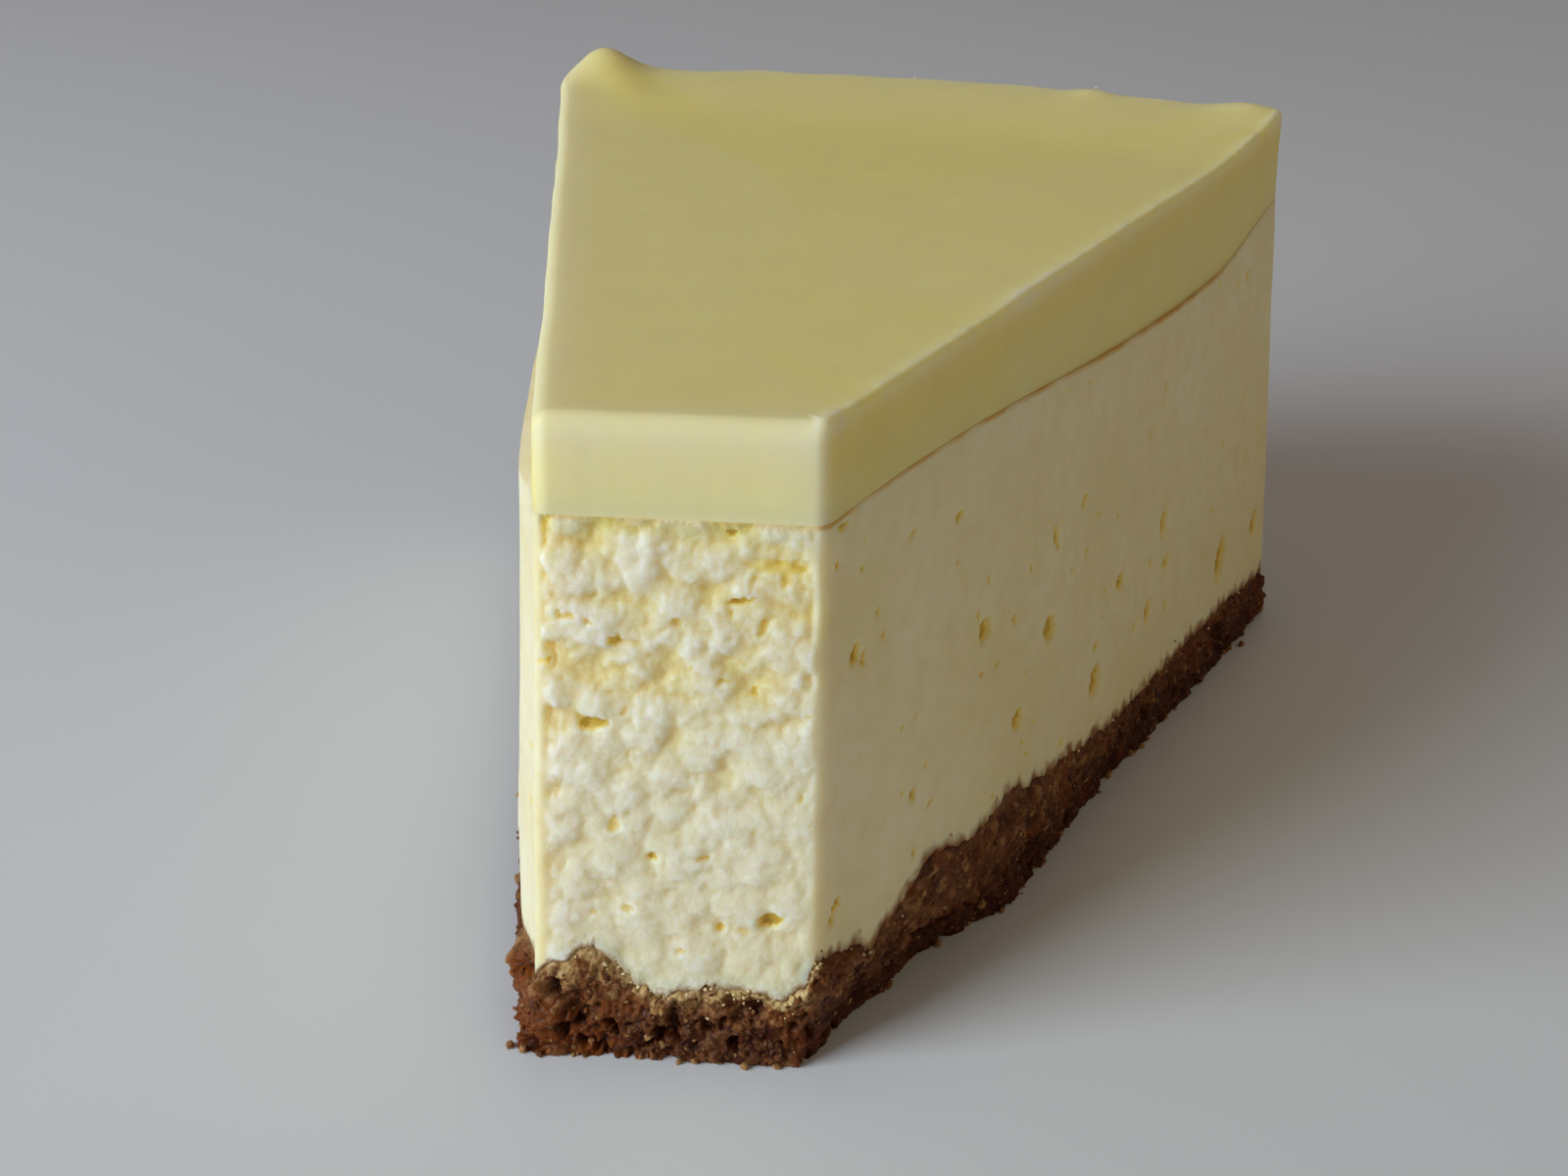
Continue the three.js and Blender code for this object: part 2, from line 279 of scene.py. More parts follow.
@dataclass(frozen=True)
class SliceOutline:
    """The sector of a round cake without its tip, in millimetres."""

    rim_radius: float = 130.0
    half_angle: float = math.radians(17.6)
    tin_centre: tuple[float, float] = (0.0, -80.0)
    cut_distance: float = 31.9
    cut_skew: float = 0.145
    front_round: float = 1.5
    rim_right_round: float = 2.0
    rim_left_round: float = 5.5

    def direction(self, angle: float | Array) -> Array:
        """The unit vector at an angle from +Y, positive towards +X."""
        return np.stack([np.sin(angle), np.cos(angle)], axis=-1)

    @property
    def normals(self) -> dict[Wall, Array]:
        """The outward normals of the three flat walls."""
        front = np.array([self.cut_skew, -1.0])
        right = np.array([math.cos(self.half_angle), -math.sin(self.half_angle)])
        return {
            Wall.FRONT: front / np.linalg.norm(front),
            Wall.RIGHT: right,
            Wall.LEFT: right * np.array([-1.0, 1.0]),
        }

    def front_corner(self, side: Wall) -> Array:
        """The centre of the round at a front corner: as far inside the cut as inside the side.

        Formula: the two equations normal times centre equals reach, solved together.

        Args:
            side: the wall that meets the cut there.

        Returns:
            The centre, in plan.
        """
        tin = np.array(self.tin_centre)
        facing = np.stack([self.normals[Wall.FRONT], self.normals[side]])
        reach = [facing[0] @ (tin + np.array([0.0, self.cut_distance])), facing[1] @ tin]
        return np.linalg.solve(facing, np.array(reach) - self.front_round)

    def rim_corner(self, side: float, radius: float) -> tuple[Array, float]:
        """The centre of the round at a back corner, and the angle at which the rim's arc meets it."""
        angle = side * (self.half_angle - math.asin(radius / (self.rim_radius - radius)))
        return np.array(self.tin_centre) + self.direction(angle) * (self.rim_radius - radius), angle

    def loop(self, spacing: Spacing) -> Loop:
        """Walk round the outline.

        Formula: straight stretches between the ends of the four rounds, arcs for the rounds, and the arc of
        the tin, each cut into equal steps.

        Args:
            spacing: the step on each wall.

        Returns:
            The points with their normals, radii from the cake's centre and shares of each wall.
        """
        normals = self.normals
        front_left = self.front_corner(Wall.LEFT)
        front_right = self.front_corner(Wall.RIGHT)
        rim_right, right_angle = self.rim_corner(1.0, self.rim_right_round)
        rim_left, left_angle = self.rim_corner(-1.0, self.rim_left_round)
        points: list[Array] = []
        facing: list[Array] = []

        def straight(start: Array, end: Array, normal: Array, step: float) -> None:
            """Add a straight stretch without its last point.

            Args:
                start: where it begins.
                end: where it ends.
                normal: the outward normal.
                step: about how long a step is.
            """
            count = max(2, round(float(np.linalg.norm(end - start)) / step))
            share = np.arange(count)[:, None] / count
            points.append(lerp(start, end, share))
            facing.append(np.repeat(normal[None], count, axis=0))

        def arc(centre: Array, radius: float, start: Array, end: Array, count: int) -> None:
            """Add an arc from one normal to the next, anticlockwise, without its last point.

            Args:
                centre: the arc's centre.
                radius: its radius.
                start: the outward normal that it begins with.
                end: the one that it ends with.
                count: how many steps it has.
            """
            first = math.atan2(start[1], start[0])
            turn = (math.atan2(end[1], end[0]) - first) % (2.0 * math.pi)
            angle = first + turn * np.arange(count) / count
            normal = np.stack([np.cos(angle), np.sin(angle)], axis=1)
            points.append(centre + radius * normal)
            facing.append(normal)

        cut, right, left = normals[Wall.FRONT], normals[Wall.RIGHT], normals[Wall.LEFT]
        back_right, back_left = self.direction(right_angle), self.direction(left_angle)
        rim_count = round(self.rim_radius * (right_angle - left_angle) / spacing.rim)
        straight(front_left + cut * self.front_round, front_right + cut * self.front_round, cut, spacing.front)
        arc(front_right, self.front_round, cut, right, spacing.corner)
        start, end = front_right + right * self.front_round, rim_right + right * self.rim_right_round
        straight(start, end, right, spacing.right)
        arc(rim_right, self.rim_right_round, right, back_right, spacing.corner)
        arc(np.array(self.tin_centre), self.rim_radius, back_right, back_left, rim_count)
        arc(rim_left, self.rim_left_round, back_left, left, spacing.corner)
        start, end = rim_left + left * self.rim_left_round, front_left + left * self.front_round
        straight(start, end, left, spacing.left)
        arc(front_left, self.front_round, left, cut, spacing.front_left)
        point = np.concatenate(points)
        normal = np.concatenate(facing)
        away = point - np.array(self.tin_centre)
        radius = np.linalg.norm(away, axis=1)
        return Loop(
            point,
            normal,
            radius,
            front=smooth(0.3, 0.97, normal @ cut),
            right=smooth(0.1, 0.9, normal @ right),
            rim=smooth(0.9, 1.0, np.sum(normal * away, axis=1) / radius),
            left=smooth(0.1, 0.9, normal @ left),
        )


@dataclass(frozen=True)
class SliceForm:
    """The heights of the layers and the spread of the walls, in millimetres, as in the solids."""

    outline: SliceOutline = SliceOutline()
    topping_level: float = 54.6
    rim_rise: float = 1.3
    seam_height: float = 47.3
    seam_dip: float = 3.6
    seam_rim_rise: float = 3.6
    crust_mean: float = 6.7
    crust_hump: float = 4.6
    right_spread: float = 3.3
    left_spread: float = 3.0
    left_front_share: float = 0.6
    left_bulge: float = 1.2
    spine: tuple[float, float] = (-32.0, 8.0)
    lips: Rows = ((-1.0, 2.5, 3.6, 5.0), (1.0, 0.8, 3.4, 4.0), (1.0, 0.45, 2.2, 21.0))
    lip_inset: float = 1.5
    crust_right_at: tuple[float, ...] = (33, 36, 40, 42.4, 44, 49.5, 56, 62, 70, 76, 84, 112, 126)
    crust_right: tuple[float, ...] = (8, 9.5, 8.7, 7, 8.3, 11.6, 10.8, 11.5, 9.3, 8.6, 7.1, 6.6, 5.3)

    def radius(self, plan: Array) -> Array:
        """The distance of points in plan from the cake's centre."""
        return np.linalg.norm(plan - np.array(self.outline.tin_centre), axis=-1)

    def seam(self, radius: Array) -> Array:
        """The height of the face between filling and topping: it dips, then climbs to the baked rim."""
        dip = self.seam_dip * smooth(45.0, 100.0, radius)
        return self.seam_height - dip + self.seam_rim_rise * smooth(110.0, self.outline.rim_radius, radius)

    def lip(self, plan: Array, side: float, height: float, reach: float, inside: float) -> Array:
        """A peak left at a back corner: a bell round a point on the rim, a little inside the cut.

        Args:
            plan: points in plan, shape (..., 2).
            side: 1 for the right corner, -1 for the left one.
            height: how high the peak is, in millimetres.
            reach: how wide it is, in millimetres.
            inside: how far it is from the cut along the rim, in millimetres.

        Returns:
            The height that it adds to each point.
        """
        outline = self.outline
        angle = side * (outline.half_angle - inside / outline.rim_radius)
        peak = outline.direction(angle) * (outline.rim_radius - self.lip_inset) + outline.tin_centre
        return height * bell(np.linalg.norm(plan - peak, axis=-1), 0.0, reach)

    def top(self, plan: Array) -> Array:
        """The height of the topping's surface: the level, a soft step up to the tin, and each lip's bell."""
        rise = self.rim_rise * smooth(108.0, self.outline.rim_radius, self.radius(plan))
        return self.topping_level + rise + sum(self.lip(plan, *lip) for lip in self.lips)

    def crust(self, loop: Loop) -> Array:
        """The height of the base at the wall: thick at the left of the front, humped down the sides.

        Formula: the mean height, plus a bell and a soft step across the front, a bell along the left side and
        the measured line along the right side, plus a jagged edge of layered swells.

        Args:
            loop: the trip round the slice.

        Returns:
            One height for each column.
        """
        across = loop.point[:, 0]
        at_front = 3.2 * bell(across, -7.4, 3.2) - 0.4 + 1.4 * smooth(8.0, 10.5, across)
        at_left = self.crust_hump * bell(loop.radius, 55.0, 18.0)
        at_left = 0.4 * (at_left - 1.6 * smooth(112.0, self.outline.rim_radius, loop.radius))
        at_right = np.interp(loop.radius, self.crust_right_at, self.crust_right) - self.crust_mean
        jag = lerp(0.95, 0.6, loop.right) * layered(loop.flat, 4.4, 61, 5, 0.62)
        jag = jag + 0.3 * layered(loop.flat, 0.8, 67, 2, 0.7)
        sides = loop.right * at_right + loop.left * at_left
        return self.crust_mean + loop.front * at_front + sides + jag

    def sideways(self, loop: Loop, right: Array, left: Array) -> Array:
        """The shift of points whose side walls move straight out by right and by left millimetres."""
        sides = ((right * loop.right, Wall.RIGHT), (left * loop.left, Wall.LEFT))
        return sum(move[..., None] * self.outline.normals[wall] for move, wall in sides)

    def spread(self, loop: Loop) -> tuple[Array, Array]:
        """How far the right and the left side spread outwards at the foot."""
        front = lerp(self.left_front_share, 1.0, smooth(34.0, 60.0, loop.radius))
        return self.right_spread * smooth(36.0, 60.0, loop.radius), self.left_spread * front

    def lean(self, loop: Loop, z: Array) -> Array:
        """The filling's shift: the sides spread towards the foot, and the left side swells near the front.

        Formula: the spread times how far down the point is, plus a soft step times a falling one on the left.

        Args:
            loop: the trip round the slice.
            z: the height of each point of the wall, shape (rows, n).

        Returns:
            The shift of each point in plan.
        """
        down = np.clip((self.seam_height - z) / (self.seam_height - self.crust_mean), 0.0, 1.0)
        swell = smooth(34.0, 41.0, loop.radius) * lerp(1.0, 0.5, smooth(50.0, 80.0, loop.radius))
        right, left = self.spread(loop)
        return self.sideways(loop, right * down, left * down + self.left_bulge * swell)

    def sway(self, loop: Loop) -> Array:
        """How far the cut wanders in and out along the walls, at the seam and above it."""
        return 0.12 * swells(loop.flat, 11.0, 404) + 0.05 * swells(loop.flat, 1.5, 405) * loop.right

    def middle(self, wall: Array) -> Array:
        """For each point of a wall, the point of the slice's spine at the same y, or the spine's end."""
        return np.stack([np.zeros(len(wall)), np.clip(wall[:, 1], *self.spine)], axis=1)

    def inward(self, wall: Array, step: float) -> Array:
        """The ring a step inside a wall, seen from above: each point slides that far towards the spine."""
        spine = self.middle(wall)
        return lerp(wall[:, :2], spine, step / np.linalg.norm(wall[:, :2] - spine, axis=1, keepdims=True))

    def cap(self, wall: Array, shares: tuple[float, ...], middle: float = 0.0) -> Array:
        """Rings across a layer, between its wall and a spine along the slice.

        Formula: each ring's points lie a share of the way from the spine to the wall, and their heights ease
        from the middle's to the wall's.

        Args:
            wall: the ring at the wall, shape (n, 3).
            shares: one share for each ring.
            middle: the height at the middle of the layer.

        Returns:
            The rings, shape (rings, n, 3).
        """
        share = np.array(shares)[:, None]
        plan = lerp(self.middle(wall), wall[:, :2], share[..., None])
        return at_height(plan, lerp(middle, wall[:, 2], smooth(0.3, 0.95, share)))


# Meshes


@dataclass
class Shape:
    """Vertices in millimetres, faces and named numbers for each vertex."""

    vertices: Array
    faces: list[Array]
    values: dict[str, Array] = field(default_factory=dict)
    rounded: bool = True

    def piece(self, name: str, material: bpy.types.Material, slot: str) -> bpy.types.Object:
        """Make the mesh object, in metres at the origin, that rides on the slice.

        Args:
            name: the object's name.
            material: its finish.
            slot: the record's material slot. Not used.

        Returns:
            The new object.
        """
        mesh = bpy.data.meshes.new(name)
        mesh.vertices.add(len(self.vertices))
        mesh.vertices.foreach_set("co", (self.vertices * MM).astype(np.float32).ravel())
        corners = np.concatenate([face.ravel() for face in self.faces]).astype(np.int32)
        sizes = np.concatenate([np.full(len(face), face.shape[1]) for face in self.faces])
        starts = np.concatenate([[0], np.cumsum(sizes)[:-1]]).astype(np.int32)
        mesh.loops.add(len(corners))
        mesh.loops.foreach_set("vertex_index", corners)
        mesh.polygons.add(len(sizes))
        mesh.polygons.foreach_set("loop_start", starts)
        mesh.polygons.foreach_set("use_smooth", np.full(len(sizes), self.rounded))
        mesh.update(calc_edges=True)
        mesh.validate()
        for title, numbers in self.values.items():
            layer = mesh.attributes.new(title, "FLOAT", "POINT")
            layer.data.foreach_set("value", numbers.astype(np.float32))
        mesh.materials.append(material)
        piece = bpy.data.objects.new(name, mesh)
        bpy.context.collection.objects.link(piece)
        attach(piece, "root")
        return piece


def crisp_ends(count: int, edge: float = 0.001) -> Array:
    """Steps from 0 to 1 with a very short first and last one, so the shading stays true up to a wall's ends."""
    return np.concatenate([[0.0, edge], np.linspace(0.0, 1.0, count - 2)[1:-1], [1.0 - edge, 1.0]])


def closed_shell(rows: Array, values: dict[str, Array]) -> Shape:
    """Close a stack of rings into one skin, with a point at the middle of the first and of the last ring.

    Formula: neighbouring rings are joined by squares, and each end ring by triangles to its mean point.

    Args:
        rows: the rings from the underside's middle, up the wall, to the top's middle, shape (m, n, 3).
        values: named numbers, shape (m, n).

    Returns:
        The closed shape, its faces outwards.
    """
    rings, around, _ = rows.shape
    grid = np.arange(rings * around).reshape(rings, around)
    after = np.roll(grid, -1, axis=1)
    walls = np.stack([grid[:-1], after[:-1], after[1:], grid[1:]], axis=-1).reshape(-1, 4)
    foot = np.full(around, rings * around)
    crown = foot + 1
    underside = np.stack([foot, after[0], grid[0]], axis=-1)
    topside = np.stack([grid[-1], after[-1], crown], axis=-1)
    vertices = np.concatenate([rows.reshape(-1, 3), rows[0].mean(0)[None], rows[-1].mean(0)[None]])
    flat = {
        title: np.concatenate([numbers.ravel(), [numbers[0].mean(), numbers[-1].mean()]])
        for title, numbers in values.items()
    }
    return Shape(vertices, [walls, underside, topside], flat)


def scatter(places: Array, sizes: Array, tints: Array, roughness: float, seed: int) -> Shape:
    """Copies of one small irregular lump, joined into a single shape.

    Formula: an icosahedron has each point pushed in or out by its own random share, and every copy is turned
    by a random turn, stretched by its size and moved to its place.

    Args:
        places: the copies' centres, shape (n, 3).
        sizes: the copies' half widths along their own three axes, shape (n, 3).
        tints: one number from 0 to 1 for each copy.
        roughness: how far the ball's points are pushed, as a share of its radius.
        seed: for the random turns and pushes.

    Returns:
        The joined shape, with the value tint.
    """
    random = np.random.default_rng(seed)
    ball, triangles = lump_template()
    count = len(places)
    turns = random.normal(size=(count, 4))
    turns /= np.linalg.norm(turns, axis=1, keepdims=True)
    w, x, y, z = turns.T
    rotation = np.stack(
        [
            np.stack([1 - 2 * (y * y + z * z), 2 * (x * y - w * z), 2 * (x * z + w * y)], axis=1),
            np.stack([2 * (x * y + w * z), 1 - 2 * (x * x + z * z), 2 * (y * z - w * x)], axis=1),
            np.stack([2 * (x * z - w * y), 2 * (y * z + w * x), 1 - 2 * (x * x + y * y)], axis=1),
        ],
        axis=1,
    )
    push = 1.0 + roughness * random.uniform(-1.0, 1.0, size=(count, len(ball), 1))
    lumpy = ball[None] * push * sizes[:, None, :]
    vertices = np.einsum("nij,nvj->nvi", rotation, lumpy) + places[:, None, :]
    faces = triangles[None] + (np.arange(count) * len(ball))[:, None, None]
    values = {"tint": np.repeat(tints, len(ball))}
    return Shape(vertices.reshape(-1, 3), [faces.reshape(-1, 3)], values, rounded=False)


def lump_template() -> tuple[Array, Array]:
    """An icosahedron on the unit ball: 12 points, and the 20 threes of them that are nearest each other."""
    golden = (1.0 + math.sqrt(5.0)) / 2.0
    pairs = list(itertools.product((-1.0, 1.0), (-golden, golden)))
    flat = np.array([(a, b, 0.0) for a, b in pairs])
    points = np.concatenate([np.roll(flat, turn, axis=1) for turn in range(3)]) / math.hypot(1.0, golden)
    faces = []
    for a, b, c in itertools.combinations(range(12), 3):
        sides = (points[a] - points[b], points[b] - points[c], points[c] - points[a])
        if max(np.linalg.norm(side) for side in sides) < 1.1:
            outward = np.dot(np.cross(sides[0], sides[1]), points[a]) > 0.0
            faces.append((a, b, c) if outward else (a, c, b))
    return points, np.array(faces)


# Finishes


def per_metre(size_mm: float) -> float:
    """The scale of a noise whose patches are about size_mm millimetres across."""
    return 0.5 / (size_mm * MM)


class NodeSheet:
    """A material's node tree, filled one node at a time."""

    def __init__(self, name: str) -> None:
        """Start an empty material.

        Args:
            name: the material's name.
        """
        self.material = bpy.data.materials.new(name)
        self.material.use_nodes = True
        self.tree = self.material.node_tree
        self.tree.nodes.clear()

    def add(
        self, kind: str, inputs: dict | None = None, output: str | int = 0, **settings: object
    ) -> bpy.types.NodeSocket | None:
        """Add a node with its settings and links.

        Args:
            kind: the node's type without the words ShaderNode.
            inputs: for each input's name or number, a value or the socket that feeds it.
            output: the name or number of the output to hand back.
            **settings: the node's own properties.

        Returns:
            That output, or nothing where the node has none.
        """
        made = self.tree.nodes.new("ShaderNode" + kind)
        for title, value in settings.items():
            setattr(made, title, value)
        for place, value in (inputs or {}).items():
            socket = made.inputs[place]
            if isinstance(value, bpy.types.NodeSocket):
                self.tree.links.new(value, socket)
            else:
                socket.default_value = value
        return made.outputs[output] if len(made.outputs) else None


@dataclass(frozen=True)
class BakedCheese:
    """Soft baked cream cheese: pale, lets light in a little, damp, with painted shade in its recesses, yellow,
    and ochre in deep holes.
    """

    cream: str = "ede4bf"
    warm: str = "e8dbaa"
    damp: str = "e1d29a"
    # white: a paler tone over the torn face, and a painted highlight on its crests.
    white: str = "f5f0dc"
    # Painted shade: hollow is the yellow and pore the ochre painted into recesses, holes and the band under the
    # topping, as light that goes into the cheese comes back yellow.
    hollow: str = "f0d768"
    pore: str = "d6b040"
    skin: str = "d0a34a"
    crumb: str = "8a5a2e"
    cloud_mm: float = 6.0
    curd_mm: float = 1.1
    bead_mm: float = 0.5
    grain_mm: float = 0.26
    smear_mm: float = 0.4
    streak_mm: float = 0.72
    streak_stretch: float = 0.7
    bead_relief_mm: float = 0.06
    curd_relief_mm: float = 0.07
    grain_relief_mm: float = 0.045
    light_depth_mm: float = 2.3

    def material(self, name: str) -> bpy.types.Material:
        """Cream with warm clouds and damp flecks, fine beads of curd where it is torn, and biscuit at its foot.

        Args:
            name: the material's name.

        Returns:
            The finished material.
        """
        sheet = NodeSheet(name)
        places = sheet.add("TexCoord", output="Object")
        torn, crest, hollow, skin, crumb, glow = (
            sheet.add("Attribute", output="Fac", attribute_name=title)
            for title in ("torn", "crest", "hollow", "skin", "crumb", "glow")
        )
        drawn = sheet.add("Mapping", {"Vector": places, "Scale": (1.0, 1.0, self.streak_stretch)})
        clouds, curds, grain, dots, streaks = (
            sheet.add("TexNoise", {"Vector": vector, "Scale": per_metre(size), "Detail": detail})
            for vector, size, detail in (
                (places, self.cloud_mm, 3.0),
                (places, self.curd_mm, 4.0),
                (places, self.grain_mm, 3.0),
                (places, self.smear_mm, 4.0),
                (drawn, self.streak_mm, 5.0),
            )
        )
        beads = sheet.add("TexVoronoi", {"Vector": places, "Scale": 1.0 / (self.bead_mm * MM), "Detail": 1.0})

        ragged = sheet.add("Mix", {0: torn, 2: streaks, 3: dots})
        fringe = sheet.add("Math", {0: crumb, 1: 0.6, 2: ragged}, operation="MULTIPLY_ADD")
        # Each layer of colour: its pattern, where that starts and is full, its greatest strength, the colour.
        colour = linear(self.cream)
        for pattern, low, high, most, over in (
            (clouds, 0.35, 0.7, 1.0, self.warm),
            (curds, 0.42, 0.75, 0.6, self.damp),
            # Paler torn face, with a painted highlight on its crests.
            (crest, 0.0, 1.0, 1.0, self.white),
            # Painted shade: yellow in recesses, ochre deep in holes.
            (hollow, 0.08, 0.75, 1.0, self.hollow),
            (hollow, 0.7, 1.0, 1.0, self.pore),
            (fringe, 0.76, 1.08, 1.0, self.crumb),
            (skin, 0.0, 1.0, 1.0, self.skin),
        ):
            share = sheet.add("MapRange", {"Value": pattern, "From Min": low, "From Max": high, "To Max": most})
            colour = sheet.add("Mix", {0: share, 6: colour, 7: linear(over)}, 2, data_type="RGBA")

        round_beads = sheet.add("Math", {0: beads, 1: torn}, operation="MULTIPLY")
        bump = {"Height": round_beads, "Distance": -self.bead_relief_mm * MM, "Strength": 1.0}
        relief = sheet.add("Bump", bump)
        rough = sheet.add("MapRange", {"Value": torn, "To Min": 0.2})
        for height, depth in ((curds, self.curd_relief_mm), (grain, self.grain_relief_mm)):
            bump = {"Height": height, "Distance": depth * MM, "Strength": rough, "Normal": relief}
            relief = sheet.add("Bump", bump)
        wet = {"Value": grain, "From Min": 0.3, "From Max": 0.5, "To Min": 0.28, "To Max": 0.6}
        inputs = {
            "Base Color": colour,
            "Normal": relief,
            "Roughness": sheet.add("MapRange", wet),
            "IOR": 1.45,
            "Specular IOR Level": 0.42,
            "Subsurface Weight": glow,
            "Subsurface Radius": (1.0, 0.78, 0.42),
            "Subsurface Scale": self.light_depth_mm * MM,
        }
        sheet.add("OutputMaterial", {"Surface": sheet.add("BsdfPrincipled", inputs)})
        return sheet.material


@dataclass(frozen=True)
class SetCream:
    """Poured cream, set by cold: smooth as butter, satin, with painted light: paler where its thin edges let
    light through and on its lit front.
    """

    body: str = "ecdd84"
    edge: str = "e9e2bc"
    mottle_mm: float = 2.4
    grain_mm: float = 0.3
    wave_mm: float = 9.0

    def material(self, name: str) -> bpy.types.Material:
        """Butter yellow with faint clouds, edges and front paled by painted light, and a very slight unevenness
        in its sheen.

        Args:
            name: the material's name.

        Returns:
            The finished material.
        """
        sheet = NodeSheet(name)
        places = sheet.add("TexCoord", output="Object")
        edge, glow = (sheet.add("Attribute", output="Fac", attribute_name=title) for title in ("edge", "glow"))
        mottle, grain, waves = (
            sheet.add("TexNoise", {"Vector": places, "Scale": per_metre(size), "Detail": 3.0})
            for size in (self.mottle_mm, self.grain_mm, self.wave_mm)
        )
        cloudy = sheet.add("MapRange", {"Value": mottle, "From Min": 0.3, "From Max": 0.75})
        body = {0: cloudy, 6: linear(self.body), 7: linear(self.body, 0.955)}
        colour = sheet.add("Mix", body, 2, data_type="RGBA")
        # Painted light: edge pales the highlights on the edges and the ridge and the lit front; the shaded
        # sides keep the yellow body.
        colour = sheet.add("Mix", {0: edge, 6: colour, 7: linear(self.edge)}, 2, data_type="RGBA")
        relief = sheet.add("Bump", {"Height": waves, "Distance": 0.12 * MM, "Strength": 1.0})
        relief = sheet.add("Bump", {"Height": grain, "Distance": 0.012 * MM, "Strength": 1.0, "Normal": relief})
        inputs = {
            "Base Color": colour,
            "Normal": relief,
            "Roughness": sheet.add("MapRange", {"Value": grain, "To Min": 0.42, "To Max": 0.54}),
            "IOR": 1.46,
            "Specular IOR Level": 0.4,
            "Subsurface Weight": glow,
            "Subsurface Radius": (1.0, 0.8, 0.35),
            "Subsurface Scale": 2.4 * MM,
        }
        sheet.add("OutputMaterial", {"Surface": sheet.add("BsdfPrincipled", inputs)})
        return sheet.material


@dataclass(frozen=True)
class BiscuitCrumb:
    """Crushed biscuit pressed with butter: toasted crumbs of several browns, damp, amber with butter, and
    painted shade, dark red-brown, in the gaps.
    """

    dark: str = "3e190c"
    toasted: str = "7d4f2b"
    pale: str = "b48f5c"
    amber: str = "72380f"
    # Painted shade: gap darkens the creases between crumbs and the pit by the front's left corner.
    gap: str = "3a170b"
    cream: str = "ceb078"
    crumb_mm: float = 0.7
    grain_mm: float = 0.22
    smear_mm: float = 0.4

    def material(self, name: str) -> bpy.types.Material:
        """Crumbs tinted one by one, amber patches of butter, cheese rubbed in at the top, and small wet glints.

        Args:
            name: the material's name.

        Returns:
            The finished material.
        """
        sheet = NodeSheet(name)
        places = sheet.add("TexCoord", output="Object")
        tint, hollow, cheese, butter = (
            sheet.add("Attribute", output="Fac", attribute_name=title)
            for title in ("tint", "hollow", "cheese", "butter")
        )
        crumbs, grain, dots = (
            sheet.add("TexNoise", {"Vector": places, "Scale": per_metre(size), "Detail": detail})
            for size, detail in ((self.crumb_mm, 4.0), (self.grain_mm, 3.0), (self.smear_mm, 4.0))
        )
        fringe = sheet.add("Math", {0: cheese, 1: 0.5, 2: dots}, operation="MULTIPLY_ADD")
        # Each layer of colour: its pattern, where that starts and is full, its greatest strength, the colour.
        colour = linear(self.dark)
        for pattern, low, high, most, over in (
            (tint, 0.0, 0.7, 1.0, linear(self.toasted)),
            (tint, 0.65, 1.0, 1.0, linear(self.pale)),
            (butter, 0.0, 1.0, 1.0, linear(self.amber)),
            (crumbs, 0.48, 0.75, 0.8, linear(self.dark)),
            (grain, 0.6, 0.78, 0.6, linear(self.pale, 0.8)),
            # Painted shade in the gaps between crumbs and in the corner pit.
            (hollow, 0.15, 0.9, 1.0, linear(self.gap)),
            (fringe, 0.86, 1.1, 1.0, linear(self.cream)),
        ):
            share = sheet.add("MapRange", {"Value": pattern, "From Min": low, "From Max": high, "To Max": most})
            colour = sheet.add("Mix", {0: share, 6: colour, 7: over}, 2, data_type="RGBA")
        relief = sheet.add("Bump", {"Height": crumbs, "Distance": 0.3 * MM, "Strength": 1.0})
        relief = sheet.add("Bump", {"Height": grain, "Distance": 0.14 * MM, "Strength": 1.0, "Normal": relief})
        wet = {"Value": grain, "From Min": 0.35, "From Max": 0.55, "To Min": 0.07, "To Max": 0.5}
        inputs = {
            "Base Color": colour,
            "Normal": relief,
            "Roughness": sheet.add("MapRange", wet),
            "IOR": 1.47,
            "Specular IOR Level": 0.12,
            "Subsurface Weight": 0.35,
            "Subsurface Radius": (1.0, 0.42, 0.18),
            "Subsurface Scale": 0.8 * MM,
        }
        sheet.add("OutputMaterial", {"Surface": sheet.add("BsdfPrincipled", inputs)})
        return sheet.material


@dataclass(frozen=True)
class PaleFloor:
    """A plain pale sweep under the slice."""

    colour: str = "dcdfe2"
    cloud_mm: float = 60.0

    def material(self, name: str) -> bpy.types.Material:
        """A smooth pale floor with the faintest unevenness.

        Args:
            name: the material's name.

        Returns:
            The finished material.
        """
        sheet = NodeSheet(name)
        places = sheet.add("TexCoord", output="Object")
        clouds = sheet.add("TexNoise", {"Vector": places, "Scale": per_metre(self.cloud_mm)})
        tones = {0: clouds, 6: linear(self.colour), 7: linear(self.colour, 0.97)}
        inputs = {
            "Base Color": sheet.add("Mix", tones, 2, data_type="RGBA"),
            "Normal": sheet.add("Bump", {"Height": clouds, "Distance": 0.05 * MM, "Strength": 1.0}),
            "Roughness": 0.5,
            "IOR": 1.45,
        }
        sheet.add("OutputMaterial", {"Surface": sheet.add("BsdfPrincipled", inputs)})
        return sheet.material


# The three layers


